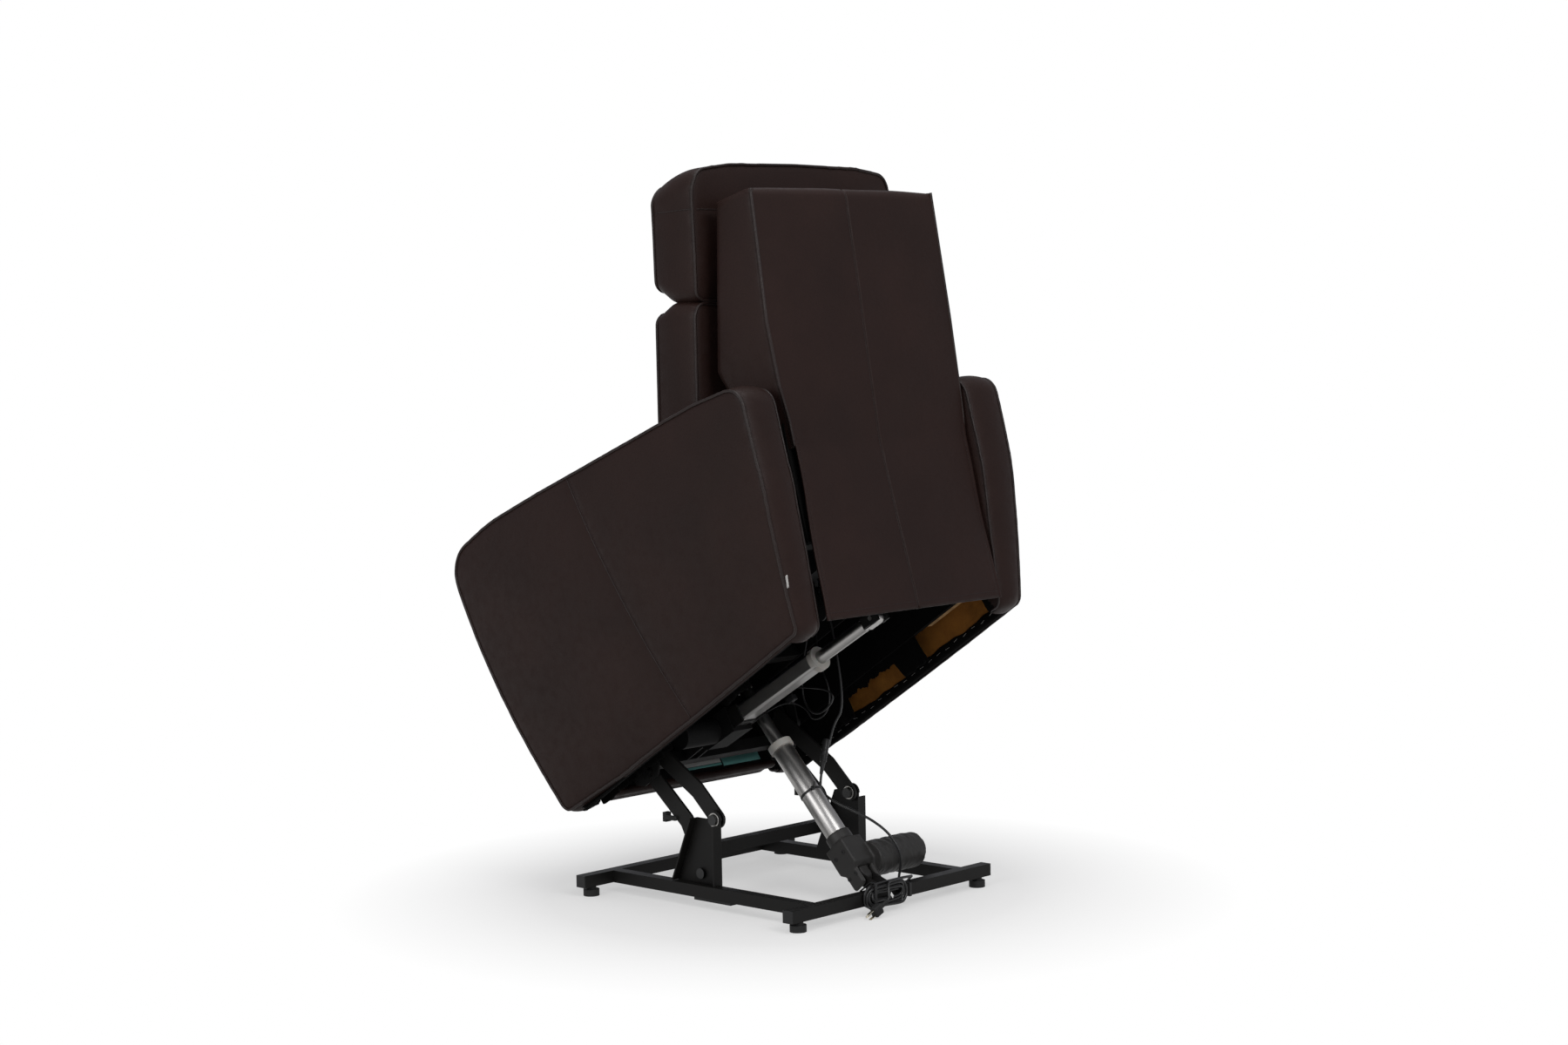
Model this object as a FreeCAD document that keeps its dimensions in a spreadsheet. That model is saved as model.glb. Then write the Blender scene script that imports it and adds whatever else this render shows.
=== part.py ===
# Lift recliner chair, shown raised on its lift base and seen from behind.
# Lengths are in millimetres and angles in degrees. X runs to the sitter's left, Y to the rear, Z up.
# Base pieces are drawn about the middle of the base on the floor. Chair pieces are drawn as the chair
# stands when it is lowered, and a placement then raises them with the lift links.

import FreeCAD, Part
import Sketcher
import math
import os
import re

V = FreeCAD.Vector

SIZES = {
    # Base frame
    "base_centre_y": 123.3,
    "rail_size": 25.4,
    "rail_wall": 2.0,
    "rail_top": 46.0,
    "front_rail_length": 640.0,
    "rear_rail_length": 609.6,
    "rail_spacing": 582.0,
    "side_rail_span": 479.0,
    "cap_thickness": 2.5,
    "cap_plug_depth": 12.0,
    "foot_radius": 17.0,
    "foot_height": 14.0,
    "foot_neck_radius": 10.5,
    "foot_stud_radius": 4.0,
    "foot_stud_height": 36.0,
    "foot_inset": 28.0,
    "pad_length": 105.0,
    "pad_thickness": 5.5,
    "pad_centre_y": 15.0,
    # Lift brackets and links
    "bracket_thickness": 4.0,
    "bracket_front_y": -108.0,
    "bracket_rear_y": 17.0,
    "bracket_shoulder_y": -52.0,
    "bracket_ear_radius": 19.0,
    "bracket_weld_depth": 18.0,
    "flange_width": 20.0,
    "flange_thickness": 3.5,
    "rear_pivot_y": 0.0,
    "rear_pivot_z": 181.0,
    "front_pivot_y": -37.0,
    "front_pivot_z": 66.0,
    "rear_pin_y": -265.5,
    "rear_pin_z": 144.7,
    "front_pin_y": -285.7,
    "front_pin_z": 67.7,
    "rear_link_raised_angle": 145.3,
    "link_thickness": 6.0,
    "link_width": 38.0,
    "link_inset": 5.1,
    "rear_bend_y": -58.0,
    "rear_bend_z": 236.0,
    "front_bend_y": -90.0,
    "front_bend_z": 168.0,
    "pivot_radius": 6.0,
    "pivot_clearance": 0.06,
    "open_clearance": 2.6,
    "bolt_head_radius": 11.0,
    "bolt_head_height": 6.5,
    "nut_height": 7.0,
    "torsion_tube_size": 25.4,
    "torsion_tube_y": -82.0,
    "torsion_tube_z": 101.0,
    "bumper_y": -146.0,
    "bumper_z": 170.0,
    "bumper_length": 26.0,
    "bumper_width": 20.0,
    # Lift actuator, drawn along its own axis from the pin at its foot
    "lift_motor_x": -5.0,
    "lift_foot_y": 214.0,
    "lift_foot_z": 55.0,
    "lift_top_y": -138.5,
    "lift_top_z": 184.8,
    "lift_tube_radius": 22.5,
    "lift_tube_start": 84.0,
    "lift_tube_end": 340.0,
    "lift_rod_radius": 14.5,
    "lift_rod_start": 240.0,
    "tube_wall": 2.0,
    "collar_rim": 4.5,
    "collar_length": 15.0,
    "gearbox_start": 17.0,
    "gearbox_width": 58.0,
    "gearbox_depth": 56.0,
    "motor_radius": 37.0,
    "motor_length": 148.0,
    "motor_offset": 14.0,
    "motor_setback": 11.0,
    "lug_width": 24.0,
    "lug_radius": 13.0,
    "neck_length": 29.5,
    "ear_thickness": 5.0,
    "ear_gap": 0.5,
    "actuator_pin_radius": 5.0,
    # Recline actuator, drawn along its own axis from its front pin
    "recline_motor_x": 52.0,
    "recline_front_y": -250.0,
    "recline_front_z": 101.0,
    "recline_rear_y": 325.0,
    "recline_rear_z": 80.0,
    "recline_tube_width": 42.0,
    "recline_tube_height": 36.0,
    "recline_tube_start": 118.0,
    "recline_tube_end": 392.0,
    "recline_rod_radius": 13.5,
    "recline_rod_start": 262.0,
    "recline_motor_radius": 27.0,
    "recline_motor_length": 98.0,
    "recline_motor_offset": 60.0,
    "recline_mount_y": -330.0,
    # Chair frame
    "side_plate_inset": 0.3,
    "side_plate_thickness": 4.0,
    "side_plate_bottom": 215.0,
    "side_plate_top": 300.0,
    "side_plate_front": -335.0,
    "lobe_bottom": 50.0,
    "deck_thickness": 16.0,
    "deck_front": -345.0,
    "deck_rear": 255.0,
    "cross_rail_size": 25.0,
    "front_cross_rail_y": -318.0,
    "middle_cross_rail_y": -8.0,
    "rear_cross_rail_y": 228.0,
    "control_box_x": -65.0,
    "control_box_width": 100.0,
    "control_box_y": 60.0,
    "control_box_length": 125.0,
    "control_box_height": 38.0,
    "cable_entry_x": 43.0,
    "cable_entry_y": 39.0,
    "back_pivot_y": 330.0,
    "back_pivot_z": 335.0,
    "back_arm_inset": 2.2,
    "recline_angle": 28.0,
    "back_arm_width": 34.0,
    "back_rail_y": 344.0,
    "back_rail_z": 84.0,
    "back_rail_height": 23.0,
    "back_rail_thickness": 10.0,
    "back_post_width": 38.0,
    "push_rear_drop": 98.0,
    "push_clearance": 1.6,
    # Footrest
    "leg_pivot_y": -170.0,
    "leg_pivot_z": 289.0,
    "leg_tube_radius": 9.0,
    "leg_link_length": 195.0,
    "leg_link_width": 26.0,
    "leg_hinge_y": -359.0,
    "leg_hinge_z": 255.0,
    "leg_open_y": -545.0,
    "leg_open_z": 335.0,
    "leg_board_bottom": 70.0,
    "leg_board_top": 328.0,
    "leg_pin_radius": 5.0,
    "leg_board_thickness": 14.0,
    "leg_hinge_setback": 15.0,
    "leg_pad_thickness": 32.0,
    "leg_board_half_width": 262.0,
    # Upholstery
    "arm_clearance": 8.0,
    "arm_bottom_width": 78.0,
    "arm_middle_width": 127.0,
    "arm_top_width": 114.0,
    "arm_crown": 30.0,
    "arm_hollow_width": 50.0,
    "arm_hollow_front": -385.0,
    "arm_hollow_rear": 338.0,
    "arm_hollow_top": 335.0,
    "arm_inner_bottom": 112.0,
    "arm_rear_low_y": 373.0,
    "arm_rear_low_z": 48.0,
    "arm_rear_high_y": 549.0,
    "arm_rear_high_z": 504.0,
    "arm_back_low_y": 210.0,
    "arm_back_low_z": 47.5,
    "arm_back_high_y": 170.0,
    "arm_back_high_z": 593.0,
    "arm_middle_low_y": -228.0,
    "arm_middle_low_z": 48.0,
    "arm_middle_high_y": -246.0,
    "arm_middle_high_z": 674.0,
    "arm_nose_low_y": -384.0,
    "arm_nose_low_z": 58.0,
    "arm_nose_high_y": -368.0,
    "arm_nose_high_z": 675.0,
    "arm_front_low_y": -419.0,
    "arm_front_low_z": 61.0,
    "arm_front_high_y": -405.0,
    "arm_front_high_z": 638.0,
    "arm_board_thickness": 12.0,
    "arm_board_bottom": 75.0,
    "seat_half_width": 262.0,
    "seat_front": -418.0,
    "seat_rear": 236.0,
    "seat_front_top": 478.0,
    "seat_rear_top": 432.0,
    "seat_crown": 16.0,
    "back_piping_y": 591.0,
    "back_piping_z": 944.0,
    "back_lean": 32.9,
    "back_shell_gap": 40.0,
    "back_shell_overhang": 6.0,
    "back_post_foot_z": 215.0,
    "back_shell_wall": 12.0,
    "shell_bottom_y": 396.0,
    "shell_bottom_z": 84.0,
    "shell_knee_y": 491.0,
    "shell_knee_z": 392.0,
    "shell_top_y": 699.0,
    "shell_top_z": 860.0,
    "shell_cheek_y": 405.0,
    "shell_cheek_z": 400.0,
    "shell_front_start": 54.0,
    "shell_front_end": 512.0,
    "back_cushion_overhang": 36.0,
    "back_cushion_depth": 122.0,
    "back_cushion_bottom": 600.0,
    "pillow_gap": 3.0,
    "back_notch_y": 560.0,
    "back_notch_length": 460.0,
    "back_notch_z": 600.0,
    "back_notch_height": 220.0,
    "headrest_overhang": 31.0,
    "headrest_height": 230.0,
    "headrest_top": 30.0,
    "headrest_crown": 22.0,
    # Handset
    "handset_length": 152.0,
    "handset_width": 48.0,
    "handset_depth": 22.0,
    "handset_sink": 8.0,
    "handset_y": -150.0,
    "handset_z": 490.0,
    "key_length": 26.0,
    "key_width": 22.0,
    "key_height": 5.0,
    # Power cord
    "cord_radius": 2.75,
    "hank_straight": 74.0,
    "hank_pitch": 6.2,
    "hank_inner_radius": 7.4,
    "hank_turns_per_layer": 3.0,
}

doc = FreeCAD.newDocument("LiftReclinerChair")
sheet = doc.addObject("Spreadsheet::Sheet", "Sizes")
for row, (alias, value) in enumerate(SIZES.items(), start=1):
    sheet.set(f"A{row}", alias)
    sheet.set(f"B{row}", str(value))
    sheet.setAlias(f"B{row}", alias)
doc.recompute()

NODES = []


# Small helpers

def size(alias):
    return float(sheet.get(alias))


def bind(obj, prop, text):
    obj.setExpression(prop, re.sub(r"\b([a-z][a-z_]*)\b", r"Sizes.\1", text))


def direction(degrees):
    return V(0, math.cos(math.radians(degrees)), math.sin(math.radians(degrees)))


def angle_of(vector):
    return math.degrees(math.atan2(vector.z, vector.y))


def point(y, z):
    return V(0, y, z)


def named_point(prefix):
    return point(size(prefix + "_y"), size(prefix + "_z"))


def turned(vector, degrees):
    return FreeCAD.Rotation(V(1, 0, 0), degrees).multVec(vector)


def node(label, *pieces, frame=None):
    # One named piece, or one group of like fasteners, put into its place in the chair
    piece = pieces[0]
    if len(pieces) > 1 or not piece.isDerivedFrom("PartDesign::Body"):
        for part in pieces:
            part.Label = part.Name + "_form"
        piece = doc.addObject("Part::Compound", label)
        piece.Links = list(pieces)
    piece.Label = label
    if frame is not None:
        piece.Placement = frame
    NODES.append(piece)
    return piece


def box(name, spans):
    # spans are six expressions: low and high along X, Y and Z
    piece = doc.addObject("Part::Box", name)
    for axis, prop, low, high in zip("xyz", ("Length", "Width", "Height"), spans[::2], spans[1::2]):
        bind(piece, prop, f"({high}) - ({low})")
        bind(piece, f"Placement.Base.{axis}", low)
    return piece


def cylinder(name, radius, height, base, rotation=None):
    piece = doc.addObject("Part::Cylinder", name)
    bind(piece, "Radius", radius)
    bind(piece, "Height", height)
    if rotation is not None:
        piece.Placement.Rotation = rotation
    for axis, text in zip("xyz", base):
        bind(piece, f"Placement.Base.{axis}", text)
    return piece


ALONG_X = FreeCAD.Rotation(V(0, 1, 0), 90)


def pin(name, radius, low, high, y, z):
    return cylinder(name, radius, f"({high}) - ({low})", (low, y, z), ALONG_X)


def fused(name, *pieces):
    piece = doc.addObject("Part::MultiFuse", name)
    piece.Shapes = list(pieces)
    return piece


def cut(name, base, *tools):
    piece = doc.addObject("Part::Cut", name)
    piece.Base = base
    piece.Tool = tools[0] if len(tools) == 1 else fused(name + "_tools", *tools)
    return piece


def feature(name, shape):
    piece = doc.addObject("Part::Feature", name)
    piece.Shape = shape
    return piece


# Outlines in the Y Z plane, as edges

def polygon(points):
    return [Part.LineSegment(a, b) for a, b in zip(points, points[1:] + points[:1])]


def band(points, radius):
    # A flat bar of steady width along a path, with round ends
    if len(points) == 2:
        return slot(points[0], points[1], radius)
    wire = Part.makePolygon(points).makeOffset2D(radius, 0, False, False, True)
    edges = []
    for edge in wire.Wires[0].OrderedEdges:
        ends = [vertex.Point for vertex in edge.Vertexes]
        if isinstance(edge.Curve, Part.Line):
            edges.append(Part.LineSegment(ends[0], ends[-1]))
        else:
            middle = edge.valueAt((edge.FirstParameter + edge.LastParameter) / 2)
            edges.append(Part.Arc(ends[0], middle, ends[-1]))
    return edges


def slot(start, end, radius):
    along = end - start
    along.normalize()
    side = turned(along, 90) * radius
    return [
        Part.LineSegment(start - side, end - side),
        Part.Arc(end - side, end + along * radius, end + side),
        Part.LineSegment(end + side, start + side),
        Part.Arc(start + side, start - along * radius, start - side),
    ]


def flat(curve):
    # The same line or arc in a sketch's own X and Y
    def to_sketch(p):
        return V(p.y, p.z, 0)
    if isinstance(curve, Part.LineSegment):
        return Part.LineSegment(to_sketch(curve.StartPoint), to_sketch(curve.EndPoint))
    middle = curve.value((curve.FirstParameter + curve.LastParameter) / 2)
    return Part.Arc(to_sketch(curve.StartPoint), to_sketch(middle), to_sketch(curve.EndPoint))


def plate(name, layers, holes=(), slots=()):
    # A body padded along X. Each layer is an outline with its low and high X as expressions,
    # each hole a centre and a radius expression, and each slot a closed outline
    body = doc.addObject("PartDesign::Body", name)
    plane = next(f for f in body.Origin.OriginFeatures if f.Role == "YZ_Plane")
    for index, (outline, low, high) in enumerate(layers):
        sketch = body.newObject("Sketcher::SketchObject", f"{name}_sketch_{index}")
        sketch.AttachmentSupport = [(plane, "")]
        sketch.MapMode = "FlatFace"
        bind(sketch, "AttachmentOffset.Base.z", low)
        sketch.addGeometry([flat(curve) for curve in outline], False)
        if index == 0:
            for closed in slots:
                sketch.addGeometry([flat(curve) for curve in closed], False)
            for number, (centre, radius) in enumerate(holes):
                circle = sketch.addGeometry(Part.Circle(V(centre.y, centre.z, 0), V(0, 0, 1), 1.0), False)
                item = sketch.addConstraint(make_radius(circle))
                sketch.renameConstraint(item, f"hole_{number}")
                bind(sketch, f"Constraints.hole_{number}", radius)
        pad = body.newObject("PartDesign::Pad", f"{name}_pad_{index}")
        pad.Profile = sketch
        bind(pad, "Length", f"({high}) - ({low})")
        body.Tip = pad
    return body


def make_radius(geometry):
    return Sketcher.Constraint("Radius", geometry, 1.0)


def sides(name, build):
    # The left piece and its mirror image on the right, from one recipe
    return [build(f"{name}_{word}", mirror) for word, mirror in (("left", False), ("right", True))]


def across(low, high, mirror):
    return (f"-({high})", f"-({low})") if mirror else (low, high)


# Where the lift linkage stands

rear_pivot = named_point("rear_pivot")
front_pivot = named_point("front_pivot")
rear_pin = named_point("rear_pin")
front_pin = named_point("front_pin")
rear_link_length = (rear_pin - rear_pivot).Length
front_link_length = (front_pin - front_pivot).Length
pin_distance = (front_pin - rear_pin).Length
raised_rear_pin = rear_pivot + direction(size("rear_link_raised_angle")) * rear_link_length


def meeting_point(centre_a, radius_a, centre_b, radius_b):
    between = centre_b - centre_a
    distance = between.Length
    reach = (radius_a ** 2 - radius_b ** 2 + distance ** 2) / (2 * distance)
    rise = math.sqrt(radius_a ** 2 - reach ** 2)
    between.normalize()
    return centre_a + between * reach + turned(between, -90) * rise


raised_front_pin = meeting_point(raised_rear_pin, pin_distance, front_pivot, front_link_length)
TILT = angle_of(raised_front_pin - raised_rear_pin) - angle_of(front_pin - rear_pin)
REAR_SWING = angle_of(rear_pin - rear_pivot) % 360 - size("rear_link_raised_angle")
FRONT_SWING = angle_of(front_pin - front_pivot) % 360 - angle_of(raised_front_pin - front_pivot)


def chair_point(seated, lowered=0.0):
    # Where a point of the chair stands with the lift lowered by this share of its travel
    swing = size("rear_link_raised_angle") + REAR_SWING * lowered
    carried = rear_pivot + direction(swing) * rear_link_length
    return carried + turned(seated - rear_pin, TILT * (1 - lowered))


def seated_point(world, lowered=0.0):
    swing = size("rear_link_raised_angle") + REAR_SWING * lowered
    carried = rear_pivot + direction(swing) * rear_link_length
    return rear_pin + turned(world - carried, -TILT * (1 - lowered))


BASE_SHIFT = V(0, size("base_centre_y"), 0)
BASE = FreeCAD.Placement(BASE_SHIFT, FreeCAD.Rotation())
CHAIR = FreeCAD.Placement(chair_point(V(0, 0, 0)) + BASE_SHIFT, FreeCAD.Rotation(V(1, 0, 0), TILT))


def along_axis(start, end, x):
    # A frame at start whose Z points to end
    turn = FreeCAD.Rotation(V(1, 0, 0), angle_of(end - start) - 90)
    return FreeCAD.Placement(V(x, start.y, start.z), turn)


lift_foot = named_point("lift_foot")
lift_top = named_point("lift_top")
raised_lift_top = chair_point(lift_top)
LIFT_AXIS = BASE.multiply(along_axis(lift_foot, raised_lift_top, size("lift_motor_x")))
LIFT_LENGTH = (raised_lift_top - lift_foot).Length
LIFT_LOWERED_LENGTH = (lift_top - lift_foot).Length
LIFT_TURN = angle_of(lift_top - lift_foot) - angle_of(raised_lift_top - lift_foot)

recline_front = named_point("recline_front")
recline_rear = named_point("recline_rear")
back_pivot = named_point("back_pivot")
RECLINE_AXIS = CHAIR.multiply(along_axis(recline_front, recline_rear, size("recline_motor_x")))
RECLINE_LENGTH = (recline_rear - recline_front).Length
reclined_rear = back_pivot + turned(recline_rear - back_pivot, -size("recline_angle"))
RECLINED_LENGTH = (reclined_rear - recline_front).Length
RECLINE_TURN = angle_of(reclined_rear - recline_front) - angle_of(recline_rear - recline_front)
RECLINE_TURN = (RECLINE_TURN + 180) % 360 - 180


# Slots that let the open pivots wander a little between their two end poses

def front_link_slot():
    half_hole_turn = FRONT_SWING / 2
    half_pin = chair_point(front_pin, 0.5)
    in_link = front_pivot + turned(half_pin - front_pivot, -half_hole_turn)
    return slot(raised_front_pin, in_link, size("pivot_radius") + size("open_clearance"))


def lift_top_slot():
    half_angle = angle_of(raised_lift_top - lift_foot) + LIFT_TURN / 2
    half_tip = lift_foot + direction(half_angle) * (LIFT_LENGTH + LIFT_LOWERED_LENGTH) / 2
    return lift_top, seated_point(half_tip, 0.5)


def recline_rear_slot():
    half_angle = angle_of(recline_rear - recline_front) + RECLINE_TURN / 2
    half_tip = recline_front + direction(half_angle) * (RECLINE_LENGTH + RECLINED_LENGTH) / 2
    return recline_rear, back_pivot + turned(half_tip - back_pivot, size("recline_angle") / 2)


# Widths across the chair, as expressions

RAIL_INNER = "side_rail_span / 2 - rail_size"
BRACKET_IN = f"{RAIL_INNER} - bracket_thickness"
LINK_OUT = f"{BRACKET_IN} - link_inset"
LINK_IN = f"{LINK_OUT} - link_thickness"
PLATE_OUT = f"{BRACKET_IN} - side_plate_inset"
PLATE_IN = f"{PLATE_OUT} - side_plate_thickness"
BACK_ARM_IN = f"{PLATE_OUT} + back_arm_inset"
BACK_ARM_OUT = f"{BACK_ARM_IN} + side_plate_thickness"
PUSH_IN = f"{BACK_ARM_OUT} + 1"
PUSH_OUT = f"{PUSH_IN} + side_plate_thickness"
LEG_HINGE_IN = f"{PUSH_OUT} + 1"
LEG_HINGE_OUT = f"{LEG_HINGE_IN} + side_plate_thickness"
DECK_BOTTOM = "side_plate_top + cross_rail_size"
ARM_INNER = "seat_half_width + arm_clearance"
BACK_SHELL_HALF = "seat_half_width + back_shell_overhang"
ARM_HOLLOW_OUTER = f"{ARM_INNER} + arm_board_thickness + arm_hollow_width"


# Footrest linkage

leg_pivot = named_point("leg_pivot")
leg_hinge = named_point("leg_hinge")
leg_open = named_point("leg_open")


def leg_angles(hinge):
    # Directions of the crank and of the link that carries the board
    reach = hinge - leg_pivot
    spread = math.degrees(math.acos(reach.Length / 2 / size("leg_link_length")))
    middle = angle_of(reach) % 360
    return middle + spread, middle - spread


CRANK_ANGLE, LEG_LINK_ANGLE = leg_angles(leg_hinge)
CRANK_OPEN, LEG_LINK_OPEN = leg_angles(leg_open)
CRANK_TURN = CRANK_OPEN - CRANK_ANGLE
leg_elbow = leg_pivot + direction(CRANK_ANGLE) * size("leg_link_length")

push_rear = back_pivot - point(0, size("push_rear_drop"))
push_rear_reclined = back_pivot + turned(push_rear - back_pivot, -size("recline_angle"))
PUSH_LEVER = abs(push_rear_reclined.y - push_rear.y) / 2 / math.sin(math.radians(abs(CRANK_TURN) / 2))
push_front = leg_pivot + direction(270 - CRANK_TURN / 2) * PUSH_LEVER


# Base frame

RAIL_BOTTOM = "rail_top - rail_size"
REAR_RAIL_FACE = "rail_spacing / 2 - rail_size / 2"


def square_tube(name, spans, axis, holes=()):
    outer = box(name + "_outer", spans)
    inner_spans = list(spans)
    for index in range(6):
        if index // 2 != "xyz".index(axis):
            sign = "+" if index % 2 == 0 else "-"
            inner_spans[index] = f"({spans[index]}) {sign} rail_wall"
    return cut(name, outer, box(name + "_bore", inner_spans), *holes)


def foot_places():
    front, rear = "front_rail_length / 2 - foot_inset", "rear_rail_length / 2 - foot_inset"
    return [
        (f"{sign}({span})", f"{way}rail_spacing / 2")
        for span, way in ((front, "-"), (rear, ""))
        for sign in ("", "-")
    ]


def across_rail(name, length, way):
    holes = [
        cylinder(f"{name}_hole_{i}", "foot_stud_radius + pivot_clearance", "rail_wall + 2",
                 (x, y, f"{RAIL_BOTTOM} - 1"))
        for i, (x, y) in enumerate(foot_places()) if (y[0] == "-") == (way == "-")
    ]
    middle = f"{way}rail_spacing / 2"
    spans = (f"-{length} / 2", f"{length} / 2", f"{middle} - rail_size / 2", f"{middle} + rail_size / 2",
             RAIL_BOTTOM, "rail_top")
    node(name, square_tube(name, spans, "x", holes), frame=BASE)


across_rail("base_front_rail", "front_rail_length", "-")
across_rail("base_rear_rail", "rear_rail_length", "")


def side_rail(name, mirror):
    low, high = across(RAIL_INNER, "side_rail_span / 2", mirror)
    spans = (low, high, f"-({REAR_RAIL_FACE})", REAR_RAIL_FACE, RAIL_BOTTOM, "rail_top")
    node(name, square_tube(name, spans, "y"), frame=BASE)


sides("base_side_rail", side_rail)


def end_cap(index, length, way, mirror):
    name = f"end_cap_{index}"
    middle = f"{way}rail_spacing / 2"
    low, high = across(f"{length} / 2", f"{length} / 2 + cap_thickness", mirror)
    face = box(name + "_face", (low, high, f"{middle} - rail_size / 2", f"{middle} + rail_size / 2",
                                RAIL_BOTTOM, "rail_top"))
    low, high = across(f"{length} / 2 - cap_plug_depth", f"{length} / 2", mirror)
    room = "(rail_wall + pivot_clearance)"
    plug = box(name + "_plug", (low, high, f"{middle} - rail_size / 2 + {room}",
                                f"{middle} + rail_size / 2 - {room}",
                                f"{RAIL_BOTTOM} + {room}", f"rail_top - {room}"))
    return fused(name, face, plug)


node("rail_end_caps", *[
    end_cap(2 * row + column, length, way, column == 1)
    for row, (length, way) in enumerate((("front_rail_length", "-"), ("rear_rail_length", "")))
    for column in range(2)
], frame=BASE)


def leveling_foot(index, x, y):
    name = f"foot_{index}"
    disc = cylinder(name + "_disc", "foot_radius", "foot_height", (x, y, "0"))
    neck = cylinder(name + "_neck", "foot_neck_radius", f"{RAIL_BOTTOM} - foot_height", (x, y, "foot_height"))
    stud = cylinder(name + "_stud", "foot_stud_radius", f"foot_stud_height - ({RAIL_BOTTOM})",
                    (x, y, RAIL_BOTTOM))
    return fused(name, disc, neck, stud)


node("leveling_feet", *[leveling_foot(i, x, y) for i, (x, y) in enumerate(foot_places())], frame=BASE)


def rail_pad(name, mirror):
    low, high = across(f"{RAIL_INNER} + 1", "side_rail_span / 2 - 1", mirror)
    return box(name, (low, high, "pad_centre_y - pad_length / 2", "pad_centre_y + pad_length / 2",
                      f"{RAIL_BOTTOM} - pad_thickness", RAIL_BOTTOM))


node("rail_pads", *sides("rail_pad", rail_pad), frame=BASE)


# Lift brackets, links and their pivots

def flange(start, end, thickness):
    along = end - start
    along.normalize()
    inward = turned(along, 90) * thickness
    return polygon([start, end, end + inward, start + inward])


def lift_bracket(name, mirror):
    rail_top = size("rail_top")
    weld_bottom = rail_top - size("bracket_weld_depth")
    front, rear, radius = size("bracket_front_y"), size("bracket_rear_y"), size("bracket_ear_radius")
    shoulder = point(size("bracket_shoulder_y"), rear_pivot.z)
    crown = [
        Part.LineSegment(point(rear, weld_bottom), point(rear, rear_pivot.z)),
        Part.LineSegment(point(rear, rear_pivot.z), rear_pivot + direction(0) * radius),
        Part.Arc(rear_pivot + direction(0) * radius, rear_pivot + direction(90) * radius,
                 rear_pivot + direction(180) * radius),
        Part.LineSegment(rear_pivot + direction(180) * radius, shoulder),
        Part.LineSegment(shoulder, point(front, rail_top)),
        Part.LineSegment(point(front, rail_top), point(front, weld_bottom)),
        Part.LineSegment(point(front, weld_bottom), point(rear, weld_bottom)),
    ]
    thickness = size("flange_thickness")
    toe = point(front, rail_top)
    front_flange = flange(shoulder, toe + (shoulder - toe) * 0.015, thickness)
    rear_flange = flange(point(rear, rail_top), point(rear, rear_pivot.z - radius / 2), thickness)
    plate_span = across(BRACKET_IN, RAIL_INNER, mirror)
    flange_span = across(RAIL_INNER, f"{RAIL_INNER} + flange_width", mirror)
    radius_text = "pivot_radius + pivot_clearance"
    body = plate(name, [(crown, *plate_span), (front_flange, *flange_span), (rear_flange, *flange_span)],
                 holes=[(rear_pivot, radius_text), (front_pivot, radius_text)])
    node(name, body, frame=BASE)


sides("lift_bracket", lift_bracket)


def pivot_bolt(name, centre, mirror, plate_face, head="bolt_head_height"):
    # A headed pin through a link and the plate outside it, with a nut inside the link
    y, z = str(centre.y), str(centre.z)
    parts = []
    for word, radius, low, high in (
        ("head", "bolt_head_radius", plate_face, f"{plate_face} + {head}"),
        ("shank", "pivot_radius", f"{LINK_IN} - open_clearance / 2", plate_face),
        ("nut", "bolt_head_radius", f"{LINK_IN} - open_clearance / 2 - nut_height",
         f"{LINK_IN} - open_clearance / 2"),
    ):
        parts.append(pin(f"{name}_{word}", radius, *across(low, high, mirror), y, z))
    return fused(name, *parts)


def foot_pin(name, x, y, z):
    half = "lug_width / 2 + ear_gap + ear_thickness"
    shank = pin(name + "_shank", "actuator_pin_radius", f"{x} - ({half}) - 2", f"{x} + ({half})", y, z)
    head = pin(name + "_head", "actuator_pin_radius + 3", f"{x} + ({half})", f"{x} + ({half}) + 3", y, z)
    return fused(name, shank, head)


base_pins = [
    pivot_bolt(f"{word}_bolt_{side}", centre, side == "right", RAIL_INNER)
    for word, centre in (("rear_pivot", rear_pivot), ("front_pivot", front_pivot))
    for side in ("left", "right")
]
node("base_pivot_pins", *base_pins, foot_pin("lift_foot_pin", "lift_motor_x", "lift_foot_y", "lift_foot_z"),
     frame=BASE)


def lift_link(label, start, bend, end, slots=()):
    def build(name, mirror):
        outline = band([start, bend, end], size("link_width") / 2)
        close = "pivot_radius + pivot_clearance"
        holes = [(start, close)] if slots else [(start, close), (end, close)]
        body = plate(name, [(outline, *across(LINK_IN, LINK_OUT, mirror))], holes=holes, slots=slots)
        node(name, body, frame=BASE)
    sides(label, build)


lift_link("rear_lift_link", rear_pivot, named_point("rear_bend"), raised_rear_pin)
lift_link("front_lift_link", front_pivot, named_point("front_bend"), raised_front_pin, [front_link_slot()])


def torsion_tube():
    half = "torsion_tube_size / 2"
    y, z = "torsion_tube_y", "torsion_tube_z"
    spans = (f"-({LINK_IN})", LINK_IN, f"{y} - {half}", f"{y} + {half}", f"{z} - {half}", f"{z} + {half}")
    node("lift_cross_tube", square_tube("lift_cross_tube", spans, "x"), frame=BASE)


torsion_tube()


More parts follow.
